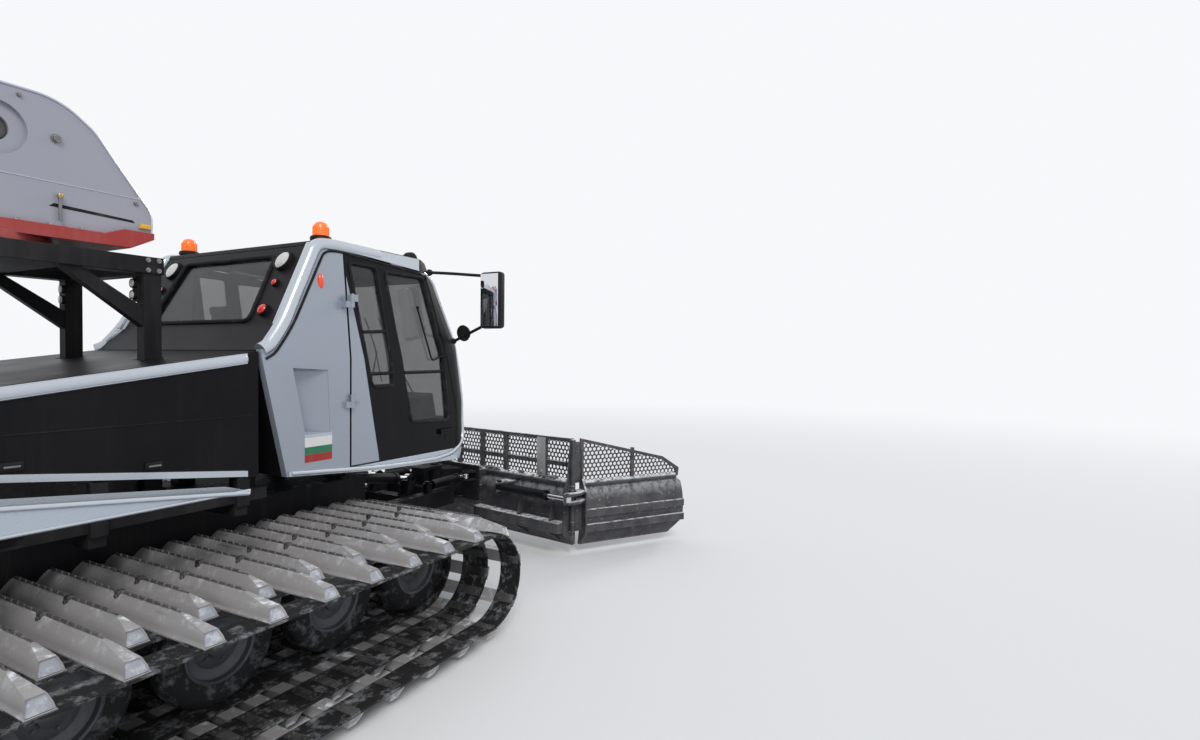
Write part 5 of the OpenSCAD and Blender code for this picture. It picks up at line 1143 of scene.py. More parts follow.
# %% Stripes and markers
# columns: lower edge, upper edge, material
STRIPES = [(1.252, 1.303, 0), (1.304, 1.354, 1), (1.355, 1.419, 2), (1.420, 1.440, 3)]
bm = bmesh.new()
for low, high, material in STRIPES:
    add_sheet(bm, [(0.478, low), (0.694, low), (0.696, high), (0.476, high)], 0.0002, 0.0012,
              places=LEFT_AND_RIGHT, material=material)
finish_piece(bm, "side_stripes", "hull", [red_paint, green_paint, white_paint, trim_paint])

bm = bmesh.new()
spot = on_side(0.645, 2.490)
tall = Matrix.Translation(spot) @ Matrix.Diagonal((1.0, 1.0, 2.3, 1.0)) @ Matrix.Translation(-spot)
add_turned(bm, [(0.0, 0.016), (0.013, 0.014), (0.021, 0.007), (0.024, 0.0), (0.024, -0.004)],
           spot, (0, -0.995, 0.099), 28, [place @ tall for place in LEFT_AND_RIGHT])
finish_piece(bm, "side_markers", "hull", [marker_lens])

# %% [markdown]
# ## Lamps
# A lamp is a turned cup with a rim and a domed lens. The rear posts carry a large white lamp over
# two red ones, the roof edge four work lamps on brackets, and the nose two pairs of headlights.

# %% Helper for lamps
# columns: radius as a share of the lamp's own, height in metres
CUP = [(0.0, -0.020), (1.0, -0.020), (1.04, 0.006), (1.0, 0.026), (0.90, 0.026), (0.86, 0.014)]
LENS = [(0.88, 0.012), (0.86, 0.020), (0.70, 0.030), (0.40, 0.037), (0.0, 0.040)]


def add_lamp(bm, spot, axis, radius, lens, places=(Matrix(),)):
    deep = min(1.0, radius / 0.05)
    add_turned(bm, [(r * radius, h * deep) for r, h in CUP], spot, axis, 32, places, 0)
    add_turned(bm, [(r * radius, h * deep) for r, h in LENS], spot, axis, 32, places, lens)


trial = bmesh.new()
add_lamp(trial, (0, 0, 0), (0, 0, 1), 0.05, 1)
print("a lamp has", len(trial.faces), "faces")
trial.free()

# %% Lamps
CLEAR, RED = 1, 2
# columns: side place, height, radius, material of the lens
REAR_LAMPS = [(-0.665, 2.632, 0.076, CLEAR), (-0.684, 2.472, 0.029, RED), (-0.710, 2.275, 0.045, RED)]
# columns: radius, height of the work lamps' round backs
LAMP_BACK = [(0.0, -0.040), (0.034, -0.036), (0.052, -0.012), (0.060, 0.020), (0.062, 0.040), (0.054, 0.040)]
# The roof falls from 2.734 m by 78 mm over 1047 mm; its lamps stand 168 mm above it
WORK_LAMP_Z = 2.734 - (1.79 - 0.794) * 0.078 / 1.047 + 0.168
AHEAD = (1, 0, 0)
bm = bmesh.new()
for y, z, radius, lens in REAR_LAMPS:
    add_lamp(bm, on_rear(y, z, 0.004), REAR_OUT, radius, lens, LEFT_AND_RIGHT)
for y in (0.320, 0.640):
    add_turned(bm, LAMP_BACK, (1.792, y, WORK_LAMP_Z), AHEAD, 32, LEFT_AND_RIGHT)
    add_lamp(bm, (1.822, y, WORK_LAMP_Z), AHEAD, 0.055, CLEAR, LEFT_AND_RIGHT)
    for s in (-0.040, 0.040):
        add_block(bm, (1.774, y + s - 0.004, WORK_LAMP_Z - 0.092),
                  (1.806, y + s + 0.004, WORK_LAMP_Z + 0.008), 0.002, LEFT_AND_RIGHT)
    add_block(bm, (1.770, y - 0.044, WORK_LAMP_Z - 0.100), (1.810, y + 0.044, WORK_LAMP_Z - 0.090), 0.002,
              LEFT_AND_RIGHT)
for y in (0.520, 0.700):
    add_lamp(bm, (2.226, y, 1.310), AHEAD, 0.069, CLEAR, LEFT_AND_RIGHT)
finish_piece(bm, "lamps_detail", "hull", [black_plastic, clear_lens, red_lens], ["lamps"])

# %% Beacons
BEACON = (0.765, -0.8, 2.802)
UPWARDS = (0, 0, 1)
# columns: radius, height above the beacon's seat
BEACON_FOOT = [(0.0, -0.002), (0.072, -0.002), (0.074, 0.010), (0.070, 0.024), (0.060, 0.030), (0.0, 0.030)]
BEACON_DOME = [(0.052, 0.026), (0.054, 0.040), (0.054, 0.082), (0.050, 0.104), (0.038, 0.122),
               (0.020, 0.132), (0.0, 0.135)]
BEACON_BULB = [(0.0, 0.024), (0.018, 0.030), (0.020, 0.070), (0.0, 0.078)]
DOME_RIBS = 24
bm = bmesh.new()
add_turned(bm, BEACON_FOOT, BEACON, UPWARDS, 40, LEFT_AND_RIGHT)
add_turned(bm, BEACON_DOME, BEACON, UPWARDS, 40, LEFT_AND_RIGHT, 1)
add_turned(bm, BEACON_BULB, BEACON, UPWARDS, 16, LEFT_AND_RIGHT, 2)
for turn in range(DOME_RIBS):
    spin = Matrix.Translation(BEACON) @ Matrix.Rotation(math.tau * turn / DOME_RIBS, 4, "Z")
    add_block(bm, (0.0525, -0.0015, 0.034), (0.0565, 0.0015, 0.094), 0.0, [spin, MIRRORED @ spin], 1)
finish_piece(bm, "beacon_domes", "hull", [black_plastic, orange_lens, clear_lens],
             ["beacons"])

# %% [markdown]
# ## Mirrors
# A tall housing hangs between two arms ahead of each door, and a small round mirror sits on the
# lower arm. The glass looks backwards and sits in a shallow rim.

# %% Mirrors
# Routes of the upper and the lower arm, from the cab to the housing
MIRROR_ARMS = [[(1.778, -0.890, 2.692), (1.880, -1.020, 2.690), (2.000, -1.310, 2.668)],
               [(2.036, -0.940, 2.104), (2.015, -1.120, 2.170), (2.010, -1.310, 2.245)]]
ARM_FEET = ((1.786, -0.902, 2.692), (2.038, -0.952, 2.110))
FOOT_PROFILE = [(0.0, 0.016), (0.020, 0.014), (0.027, 0.0), (0.030, -0.014)]
SMALL_MIRROR, SMALL_AXIS = (2.020, -1.075, 2.180), (1, 0, 0.17)
SMALL_SHELL = [(0.0, 0.040), (0.035, 0.036), (0.060, 0.020), (0.072, -0.004), (0.070, -0.008),
               (0.066, -0.006)]
bm = bmesh.new()
add_block(bm, (1.955, -1.505, 2.215), (2.045, -1.295, 2.695), 0.026, LEFT_AND_RIGHT)
add_block(bm, (1.950, -1.490, 2.232), (1.958, -1.310, 2.678), 0.003, LEFT_AND_RIGHT, 1)
for arm in MIRROR_ARMS:
    add_pipe(bm, arm, 0.013, 14, bend=0.08, places=LEFT_AND_RIGHT)
for spot in ARM_FEET:
    add_turned(bm, FOOT_PROFILE, spot, (0.2, -1.0, 0.1), 24, LEFT_AND_RIGHT)
for z in (2.300, 2.600):
    add_block(bm, (2.030, -1.330, z - 0.03), (2.052, -1.300, z + 0.03), 0.005, LEFT_AND_RIGHT)
add_turned(bm, SMALL_SHELL, SMALL_MIRROR, SMALL_AXIS, 32, LEFT_AND_RIGHT)
add_turned(bm, [(0.067, -0.005), (0.0, -0.009)], SMALL_MIRROR, SMALL_AXIS, 32, LEFT_AND_RIGHT, 1)
add_bar(bm, (2.022, -1.075, 2.118), (2.026, -1.075, 2.150), 0.011, places=LEFT_AND_RIGHT)
finish_piece(bm, "mirrors_detail", "hull", [black_plastic, mirror_glass], ["mirrors"])

# %% [markdown]
# ## Wipers
# Two long wipers rest on the windscreen. Each has a motor boss, a bent arm and a blade.

# %% Wipers
MOTOR_BOSS = [(0.0, 0.026), (0.018, 0.024), (0.024, 0.010), (0.026, -0.004)]
bm = bmesh.new()
# columns: side place of the motor and of the blade's middle
for foot_y, blade_y in ((-0.42, -0.06), (0.42, 0.12)):
    add_turned(bm, MOTOR_BOSS, on_nose(foot_y, 1.385, 0.002), (1, 0, 0.05), 24)
    elbow_y = foot_y + (blade_y - foot_y) * 0.3
    arm = [on_nose(foot_y, 1.388, 0.024), on_nose(elbow_y, 1.56, 0.030), on_nose(blade_y, 2.02, 0.026)]
    add_pipe(bm, arm, 0.007, 10, bend=0.05)
    blade = [on_nose(blade_y + dy, z, 0.012) for dy, z in ((-0.02, 1.72), (0.01, 2.10), (0.02, 2.34))]
    add_pipe(bm, blade, 0.006, 8, bend=0.08)
finish_piece(bm, "wipers", "hull", [black_plastic])

# %% [markdown]
# ## Half-round strips on the engine cover
# Two pressed strips run along the cover, one under its upper edge and one above its lower one. Each
# is a tube flattened against the sheet, with a rounded end at the cab.

# %% Cover strips
COVER_FRONT_X = 0.162
COVER_SIDE_Y = -0.986
# columns: radius and height as shares of the strip's radius, for the ball at each end
BALL = [(0.0, -1.0), (0.5, -0.87), (0.87, -0.5), (1.0, 0.0), (0.87, 0.5), (0.5, 0.87), (0.0, 1.0)]


def cover_edge(x, upper):
    """Height of the cover's upper or lower edge, which draw together towards the rear."""
    back = COVER_FRONT_X - x
    return 1.998 - back * 0.1385 if upper else 1.210 + back * 0.1403


bm = bmesh.new()
# columns: whether the strip is the upper one, height above that edge, rear end, radius
for upper, above, rear_x, radius in ((True, -0.036, -1.760, 0.034), (False, 0.022, -1.900, 0.019)):
    ends = [(x, 0.0, cover_edge(x, upper) + above) for x in (0.060, rear_x)]
    strip = bmesh.new()
    add_pipe(strip, ends, radius, 20)
    for end in ends:
        add_turned(strip, [(r * radius, h * radius) for r, h in BALL], end, (0, 1, 0), 20)
    flatten = Matrix.Translation((0.0, COVER_SIDE_Y, 0.0)) @ Matrix.Diagonal((1.0, 0.5, 1.0, 1.0))
    bmesh.ops.transform(strip, matrix=flatten, verts=strip.verts)
    join(bm, strip, LEFT_AND_RIGHT)
finish_piece(bm, "cover_strips", "hull", [bright_trim])

# %% [markdown]
# ## Seats
# Each seat has a cushion, a backrest and a headrest. Every pad starts as a rounded block a little
# smaller than its cover, is remeshed evenly and blown up by a short cloth simulation, whose movement
# is capped. Sewn channels are pressed in afterwards. The pads stand on a sprung base with bellows.

# %% Helpers for blowing up a cover
PRESSURE = 4.0
LAST_FRAME = 20


def evaluated_copy(shape):
    graph = bpy.context.evaluated_depsgraph_get()
    return bpy.data.meshes.new_from_object(shape.evaluated_get(graph), depsgraph=graph)


def blown_up(shape, even, cap):
    """Lets the cover swell under pressure, by no more than the cap at any point."""
    before = np.empty(len(even.vertices) * 3)
    even.vertices.foreach_get("co", before)
    cloth = shape.modifiers.new("blown_up", "CLOTH")
    cloth.settings.use_pressure = True
    cloth.settings.uniform_pressure_force = PRESSURE
    cloth.settings.effector_weights.gravity = 0.0
    for step in range(1, LAST_FRAME + 1):
        bpy.context.scene.frame_set(step)
    blown = evaluated_copy(shape)
    shape.modifiers.clear()
    bpy.context.scene.frame_set(1)
    after = np.empty(len(blown.vertices) * 3)
    blown.vertices.foreach_get("co", after)
    moved = (after - before).reshape(-1, 3)
    reach = np.linalg.norm(moved, axis=1, keepdims=True)
    moved *= np.minimum(1.0, cap / np.maximum(reach, 1e-9))
    even.vertices.foreach_set("co", before + moved.ravel())


print("pressure", PRESSURE, "over", LAST_FRAME, "frames")

# %% Helpers for pads
VOXEL = 0.012
SEAM_DEPTH, SEAM_WIDTH = 0.011, 0.010
# Seams are pressed into what lies in this upper share of a pad's thickness
SEAM_SHARE = 0.45


def padded_mesh(name, low, high, rounding, cap, channels):
    """A blown-up pad. Each channel is (axis, place): a sewn line across the pad's upper face."""
    bm = bmesh.new()
    add_block(bm, low, high, rounding)
    start = bpy.data.meshes.new(name)
    bm.to_mesh(start)
    bm.free()
    shape = bpy.data.objects.new(name, start)
    bpy.context.scene.collection.objects.link(shape)
    remesh = shape.modifiers.new("even", "REMESH")
    remesh.mode = "VOXEL"
    remesh.voxel_size = VOXEL
    even = evaluated_copy(shape)
    shape.modifiers.clear()
    shape.data = even
    blown_up(shape, even, cap)
    top = high[2] - SEAM_SHARE * (high[2] - low[2])
    for vert in even.vertices:
        if vert.co.z > top:
            for axis, place in channels:
                vert.co.z -= SEAM_DEPTH * math.exp(-((vert.co[axis] - place) / SEAM_WIDTH) ** 2)
    bpy.data.objects.remove(shape)
    print(f"{name}: even mesh of {len(even.vertices)} points")
    return even


def leaned(mesh, pivot, angle):
    """Both seats' copies of a pad, turned about a crosswise axis through the pivot."""
    bm = bmesh.new()
    turn = Matrix.Translation(pivot) @ Matrix.Rotation(angle, 4, "Y")
    for place in (turn, MIRRORED @ turn):
        mesh.transform(place)
        bm.from_mesh(mesh)
        mesh.transform(place.inverted())
    return bm


print("sewn lines are", SEAM_DEPTH, "m deep")

# %% Seat pads
# columns: name, low corner, high corner, rounding, cap, channels, pivot, lean in degrees, fill
SEAT = Vector((0.98, -0.43, 1.166))
PADS = [
    ("seat_cushions", (-0.035, -0.245, -0.050), (0.500, 0.245, 0.050), 0.034, 0.014,
     [(0, 0.16), (0, 0.33), (1, -0.17), (1, 0.17)], (0.0, 0.0, 0.340), -3.0, 0.8),
    ("seat_backs", (0.030, -0.240, -0.042), (0.570, 0.240, 0.042), 0.032, 0.012,
     [(0, 0.18), (0, 0.30), (0, 0.42), (1, -0.17), (1, 0.17)], (-0.020, 0.0, 0.400), -101.0, 0.8),
    ("seat_headrests", (-0.085, -0.120, -0.034), (0.085, 0.120, 0.034), 0.028, 0.010,
     [(0, 0.0)], (-0.172, 0.0, 1.120), -101.0, 0.85),
]
for name, low, high, rounding, cap, channels, pivot, lean, fill in PADS:
    pad = padded_mesh(name, low, high, rounding, cap, channels)
    shape = leaned(pad, SEAT + Vector(pivot), math.radians(lean))
    piece = finish_piece(shape, name, "hull", [seat_cloth], ["seats"], smooth=180.0)
    finer = piece.modifiers.new("finer", "SUBSURF")
    finer.levels = finer.render_levels = 1

# %% Seat frames
bm = bmesh.new()
both_seats = [Matrix.Translation(SEAT), MIRRORED @ Matrix.Translation(SEAT)]
add_block(bm, (0.040, -0.160, 0.000), (0.380, 0.160, 0.030), 0.006, both_seats)
for z in (0.045, 0.080, 0.115, 0.150, 0.185):
    add_block(bm, (0.050, -0.150, z - 0.017), (0.370, 0.150, z + 0.017), 0.015, both_seats)
add_block(bm, (-0.020, -0.220, 0.205), (0.440, 0.220, 0.275), 0.014, both_seats)
add_block(bm, (0.020, -0.232, 0.250), (0.400, 0.232, 0.286), 0.008, both_seats)
for s in (-0.2, 0.2):
    add_bar(bm, (0.02, s, 0.30), (-0.040, s, 0.44), 0.014, places=both_seats)
for s in (-0.060, 0.060):
    add_bar(bm, (-0.140, s, 0.940), (-0.160, s, 1.060), 0.007, places=both_seats, material=1)
finish_piece(bm, "seat_frames", "hull", [black_plastic, rod_chrome], ["seats"])

# %% Console, joystick and screen
STICK = [(0.0, 0.120), (0.018, 0.118), (0.024, 0.090), (0.020, 0.050), (0.014, 0.030), (0.030, 0.0)]
BUTTON = [(0.0, 0.010), (0.009, 0.009), (0.012, 0.0)]
bm = bmesh.new()
add_block(bm, (0.98, -0.130, 1.166), (1.42, 0.130, 1.480), 0.020)
add_block(bm, (1.02, -0.110, 1.470), (1.40, 0.110, 1.540), 0.024)
add_turned(bm, STICK, (1.30, 0.0, 1.545), (0.12, 0, 1), 24, material=1)
for row in range(3):
    for column in range(3):
        spot = (1.10 + 0.045 * row, -0.05 + 0.05 * column, 1.540)
        add_turned(bm, BUTTON, spot, UPWARDS, 12, material=1)
add_block(bm, (1.760, -0.220, 1.660), (1.785, 0.040, 1.830), 0.010, material=1)
add_bar(bm, (1.775, -0.09, 1.56), (1.775, -0.09, 1.68), 0.012)
finish_piece(bm, "cab_console", "hull", [black_plastic, seal_rubber])

# %% [markdown]
# ## Winch
# The drum carries a thousand metres of steel rope in neat turns, so its profile is a row of small
# scallops between two flanges. The rope leaves it over the boom, taut, and ends in a hook under the
# boom's pulley. Bolts stand round the drum's bearing, along the red base and on the plates' edges.

# %% Rope drum
DRUM = Vector((-0.905, 0.0, 3.140))
DRUM_SIDES = 40
ROPE_TURNS = 37
ROPE_HALF = 0.2845
FLANGE_Y = 0.292
SPOKES = 6
# columns: radius, distance along the axis, from the axle's end to the flange's inner face
FLANGE = [(0.0, -0.317), (0.196, -0.317), (0.230, -0.313), (0.230, -0.297), (0.214, -0.293)]
# columns: radius, distance from the middle of one turn of rope
ROPE_TURN = [(0.1985, -0.0070), (0.2045, -0.0035), (0.2060, 0.0), (0.2045, 0.0035)]
profile = FLANGE[:]
for turn in range(ROPE_TURNS):
    across = -ROPE_HALF + turn * 2 * ROPE_HALF / (ROPE_TURNS - 1)
    profile += [(radius, across + aside) for radius, aside in ROPE_TURN]
profile += [(radius, -across) for radius, across in reversed(FLANGE)]
bm = bmesh.new()
add_turned(bm, profile, DRUM, (0, 1, 0), DRUM_SIDES)
for face in bm.faces:
    face.material_index = int(abs(face.calc_center_median().y) > FLANGE_Y)
for s in (-1, 1):
    bearing, end = DRUM + Vector((0, 0.300 * s, 0)), DRUM + Vector((0, 0.388 * s, 0))
    add_bar(bm, bearing, end, 0.068, 32, rounding=0.004, material=1)
    for spoke in range(SPOKES):
        angle = math.tau * spoke / SPOKES
        spot = DRUM + Vector((0.13 * math.cos(angle), 0.318 * s, 0.13 * math.sin(angle)))
        add_bolt(bm, spot, (0, s, 0), 0.014, material=1)
finish_piece(bm, "winch_drum_rope", "drum", [wound_rope, dark_steel], ["winch_drum"])

# %% Bolts and fittings of the winch
PLATE_Y = -0.430
SLEW_X, SLEW_BOLT_R, SLEW_BOLTS = -1.05, 0.49, 24
LEVER_X, LEVER_Y = -0.635, -0.452
SIDEWAYS = (0, -1, 0)
# columns: x, z of the bolts along the side plates' upper edge
PLATE_BOLTS = [(-1.86, 2.80), (-1.80, 3.10), (-1.55, 3.33), (-1.20, 3.33), (-0.80, 3.33), (-0.25, 2.88)]
LEVER_KNOB = [(0.0, 0.014), (0.012, 0.012), (0.015, 0.0), (0.010, -0.012)]
bm = bmesh.new()
add_bolt(bm, (-0.642, -0.428, 3.149), SIDEWAYS, 0.020, LEFT_AND_RIGHT)
for step in range(11):
    add_bolt(bm, (-1.840 + 0.145 * step, -0.4535, 2.6705), UPWARDS, 0.011, LEFT_AND_RIGHT)
for x, z in PLATE_BOLTS:
    add_bolt(bm, (x, PLATE_Y, z), SIDEWAYS, 0.010, LEFT_AND_RIGHT)
for turn in range(SLEW_BOLTS):
    angle = math.tau * turn / SLEW_BOLTS
    spot = (SLEW_X + SLEW_BOLT_R * math.cos(angle), SLEW_BOLT_R * math.sin(angle), 2.6105)
    add_bolt(bm, spot, UPWARDS, 0.011)
add_bar(bm, (LEVER_X, LEVER_Y, 2.70), (LEVER_X, LEVER_Y, 2.83), 0.008, places=LEFT_AND_RIGHT)
add_turned(bm, LEVER_KNOB, (LEVER_X, LEVER_Y, 2.836), UPWARDS, 16, LEFT_AND_RIGHT, 1)
finish_piece(bm, "winch_bolts", "winch", [steel, brass])

# %% Edges, seam and slot of the side plates
# columns: x, z of the plates' front edge, from the red base up to their crown
PLATE_EDGE = [(-0.168, 2.700), (-0.162, 2.785), (-0.172, 2.844), (-0.359, 3.098), (-0.459, 3.241),
              (-0.589, 3.338), (-0.690, 3.370), (-1.500, 3.370), (-1.758, 3.230), (-1.952, 2.850)]
SEAM_X, SEAM_Z = (-0.222, -1.920), 2.910
# columns: x, z of the black film that paints the slot's shade, and of the yellow block before it
SLOT_SHADE_FILM = [(-0.678, 2.778), (-0.655, 2.796), (-0.268, 2.776), (-0.255, 2.762)]
STOP = [(-0.240, 2.735), (-0.172, 2.735), (-0.172, 2.765), (-0.228, 2.765)]
bm = bmesh.new()
edge = [(x, PLATE_Y - 0.0005, z) for x, z in PLATE_EDGE]
add_pipe(bm, edge, 0.007, 8, bend=0.05, places=LEFT_AND_RIGHT)
add_pipe(bm, [(x, PLATE_Y - 0.0002, SEAM_Z) for x in SEAM_X], 0.0035, 6, places=LEFT_AND_RIGHT)
# The slot is not cut: a flat black film on the plate paints the shade inside it.
add_plate(bm, SLOT_SHADE_FILM, PLATE_Y - 0.0015, PLATE_Y + 0.0005, places=LEFT_AND_RIGHT, material=1)
add_plate(bm, STOP, PLATE_Y - 0.0150, PLATE_Y + 0.0005, rounding=0.004, places=LEFT_AND_RIGHT, material=2)
finish_piece(bm, "winch_plate_trim", "winch", [bright_trim, seal_rubber, yellow_paint])

# %% Boom pipes
PIPE_Y = -0.119
bm = bmesh.new()
for z in (3.235, 3.262):
    route = [(-1.300, PIPE_Y, z), (-1.700, PIPE_Y, z + 0.020), (-3.840, PIPE_Y, z + 0.085)]
    add_pipe(bm, route, 0.008, 10, bend=0.1, places=LEFT_AND_RIGHT)
for step in range(6):
    x, rise = -1.62 - 0.42 * step, 0.0125 * step
    add_block(bm, (x - 0.012, PIPE_Y - 0.013, 3.232 + rise), (x + 0.012, PIPE_Y + 0.011, 3.300 + rise),
              0.003, LEFT_AND_RIGHT, 1)
finish_piece(bm, "boom_pipes", "winch", [rod_chrome, black_plastic])

# %% The taut rope and its hook
ROPE_R = 0.006
PULLEY_X, PULLEY_Z = -4.110, 3.330
# Radius of the rope's middle on the pulley, behind which it hangs straight down
ROPE_RUN_R = 0.1325
HANG_X = PULLEY_X - ROPE_RUN_R
SOCKET = [(0.006, 0.055), (0.016, 0.045), (0.018, 0.0), (0.012, -0.030), (0.006, -0.034)]
# columns: x, z of the hook's bend
HOOK = [(HANG_X, 3.080), (HANG_X, 3.030), (-4.275, 2.985), (HANG_X, 2.945), (-4.205, 2.965), (-4.205, 3.000)]
bm = bmesh.new()
over = [(-0.905, 0.0, 3.3545), (-1.520, 0.0, 3.4515), (PULLEY_X, 0.0, 3.4630)]
for degrees in (30, 60, 90):
    angle = math.radians(degrees)
    over.append((PULLEY_X - ROPE_RUN_R * math.sin(angle), 0.0, PULLEY_Z + ROPE_RUN_R * math.cos(angle)))
over += [(HANG_X, 0.0, 3.200), (HANG_X, 0.0, 3.120)]
add_pipe(bm, over, ROPE_R, 10, bend=0.03)
add_turned(bm, SOCKET, (HANG_X, 0.0, 3.105), UPWARDS, 16, material=1)
add_pipe(bm, [(x, 0.0, z) for x, z in HOOK], 0.011, 12, bend=0.03, material=1)
finish_piece(bm, "boom_rope_hook", "winch", [wound_rope, steel])

# %% [markdown]
# ## Portal frame and engine cover
# The portal's feet are bolted down, and four bolts sit high on each of its legs. A pair of small work
# lamps looks back from its front legs. The satin black cover has a pressed seam, latches and a grab bar.

# %% Bolts of the portal
bm = bmesh.new()
for x in (-0.200, -1.820):
    for dx in (-0.070, 0.070):
        for dy in (-0.060, 0.060):
            add_bolt(bm, (x + dx, -0.470 + dy, 1.010), UPWARDS, 0.012, LEFT_AND_RIGHT)
    for dx in (-0.030, 0.030):
        for z in (2.480, 2.540):
            add_bolt(bm, (x + dx, -0.5200, z), SIDEWAYS, 0.010, LEFT_AND_RIGHT)
finish_piece(bm, "portal_bolts", "hull", [steel])

# %% Lamps on the portal
bm = bmesh.new()
for z in (2.330, 2.400):
    add_lamp(bm, (-0.262, -0.430, z), (-1, 0, 0), 0.028, CLEAR, LEFT_AND_RIGHT)
add_block(bm, (-0.258, -0.462, 2.290), (-0.248, -0.398, 2.440), 0.004, LEFT_AND_RIGHT)
finish_piece(bm, "portal_lamps", "hull", [black_plastic, clear_lens])

# %% Latches, seam and grab bars of the cover
LATCH_X = (-0.45, -1.05, -1.65)
LATCH_ABOVE = 0.075
bm = bmesh.new()
for x in LATCH_X:
    z = cover_edge(x, False) + LATCH_ABOVE
    add_block(bm, (x - 0.045, -0.997, z - 0.022), (x + 0.045, -0.985, z + 0.022), 0.005, LEFT_AND_RIGHT)
    add_bar(bm, (x - 0.030, -1.002, z), (x + 0.030, -1.002, z), 0.006, 12, rounding=0.002,
            places=LEFT_AND_RIGHT, material=1)
add_pipe(bm, [(x, -0.9846, 1.600) for x in (0.110, -1.880)], 0.004, 6, places=LEFT_AND_RIGHT)
for y in (-0.32, 0.32):
    grip = [(-2.0, y - 0.09), (-2.045, y - 0.09), (-2.045, y + 0.09), (-2.0, y + 0.09)]
    add_pipe(bm, [(x, side_y, 1.585) for x, side_y in grip], 0.009, 12, bend=0.03, material=1)
finish_piece(bm, "cover_fittings", "hull", [black_plastic, steel])

# %% [markdown]
# ## Blade and wings
# The upper part of blade and wings is a sheet with round holes in staggered rows, light and easy to
# see through. One six-sided cell with its hole is drawn once and repeated, and a rim is laid
# round the field. The blade stands swung ten degrees and each wing is folded sixty-five.

# %% One cell with its hole
PITCH = 0.0475
HOLE_R = 0.0172
BLADE_SWING, WING_FOLD = -10.0, 65.0
BLADE_PLACE = Matrix.Translation((2.850, 0.0, 0.0)) @ Matrix.Rotation(math.radians(BLADE_SWING), 4, "Z")
WING_PLACE = Matrix.Translation((0.500, -1.525, 0.0)) @ Matrix.Rotation(math.radians(WING_FOLD), 4, "Z")


def cell_point(depth, angle, hole):
    """A point of a cell, on its hole's edge or on its six-sided rim, which is drawn in twelve steps."""
    on_tip = round(math.degrees(angle) / 30) % 2 == 1
    reach = HOLE_R if hole else (PITCH / math.sqrt(3) if on_tip else PITCH / 2)
    return depth, reach * math.cos(angle), reach * math.sin(angle)


def perforated_cell(front, back):
    """A hexagon with a round hole, open at its sides: front sheet, wall of the hole, back sheet."""
    part = bmesh.new()
    rim = bmesh.ops.create_circle(part, segments=12, radius=1.0)["verts"]
    for vert in rim:
        vert.co = cell_point(front, math.atan2(vert.co.y, vert.co.x), False)
    edges = part.edges[:]
    for depth, hole in ((front, True), (back, True), (back, False)):
        edges, ring = next_ring(part, edges)
        for vert in ring:
            vert.co = cell_point(depth, math.atan2(vert.co.z, vert.co.y), hole)
    return part


trial = perforated_cell(0.005, 0.0)
print("a cell has", len(trial.faces), "faces")
trial.free()

# %% [markdown]
# ## Filling an outline with cells
# The cells stand in rows, every second one set off by half a pitch. A cell is kept where its middle
# lies deeper inside the outline than a margin. The rim is the outline's face, inset and pushed
# through, and hides the cells' cut edges.

# %% Perforated sheets
# Rows of a six-sided pattern stand closer to each other than the cells of one row
ROW_SHARE = 0.866
RIM_LIP = 0.0008
RIM_OVERLAP = 0.004


def depth_inside(spot, outline):
    """How far a point lies inside an outline without hollows; less than nought outside it."""
    centre = Vector(np.mean(outline, axis=0))
    depths = []
    for start, end in zip(outline, outline[1:] + outline[:1]):
        along = (Vector(end) - Vector(start)).normalized()
        normal = Vector((-along.y, along.x))
        if normal.dot(centre - Vector(start)) < 0:
            normal = -normal
        depths.append(normal.dot(spot - Vector(start)))
    return min(depths)


def cell_places(outline, margin):
    """The cells' middles in the outline, as moves in its plane."""
    low, high = np.min(outline, axis=0), np.max(outline, axis=0)
    places = []
    for row in range(int((high[1] - low[1]) / (PITCH * ROW_SHARE)) + 1):
        for column in range(int((high[0] - low[0]) / PITCH) + 1):
            y = low[0] + PITCH * (column + 0.5 * (row % 2))
            z = low[1] + PITCH * ROW_SHARE * (row + 0.9)
            if depth_inside(Vector((y, z)), outline) > margin:
                places.append(Matrix.Translation((0.0, y, z)))
    return places


def perforated_sheet(name, body, node, place, front, back, outline, margin):
    """Cells wherever they fit inside the outline of (y, z) points, and a rim along it."""
    places = cell_places(outline, margin)
    bm = bmesh.new()
    join(bm, perforated_cell(front, back), places)
    bmesh.ops.remove_doubles(bm, verts=bm.verts, dist=1e-5)
    rim = bmesh.new()
    corners = [rim.verts.new((back - RIM_LIP, y, z)) for y, z in outline]
    face = rim.faces.new(corners)
    bmesh.ops.inset_region(rim, faces=[face], thickness=margin + RIM_OVERLAP, use_even_offset=True)
    bmesh.ops.delete(rim, geom=[max(rim.faces, key=lambda f: f.calc_area())], context="FACES")
    push_faces(rim, rim.faces[:], (front - back + 2 * RIM_LIP, 0.0, 0.0))
    join(bm, rim)
    bmesh.ops.transform(bm, matrix=place, verts=bm.verts)
    finish_piece(bm, name, body, [blade_paint], [node])
    return len(places)


# %% The sheets of blade and wings
# columns: y, z
WING_SHEET = [(-0.1083, 0.720), (-1.2730, 0.720), (-1.2805, 0.788), (-1.0710, 0.922), (-0.1083, 1.1610)]
BLADE_SHEET = [(-1.4787, 0.735), (1.4787, 0.735), (1.4787, 1.161), (-1.4787, 1.161)]
MARGIN = 0.026
holes = perforated_sheet("blade_holes", "blade", "blade_mesh", BLADE_PLACE, 0.5453, 0.5403,
                         BLADE_SHEET, MARGIN)
for side, mirror in FROM_RIGHT:
    holes += perforated_sheet(f"wing_{side}_holes", f"wing_{side}", f"wing_{side}_mesh",
                              BLADE_PLACE @ mirror @ WING_PLACE, 0.0413, 0.0363, WING_SHEET, MARGIN)
print(holes, "holes")

# %% Bolts and edges of the blade
EDGE_BOLT_Z = (0.140, 0.185)
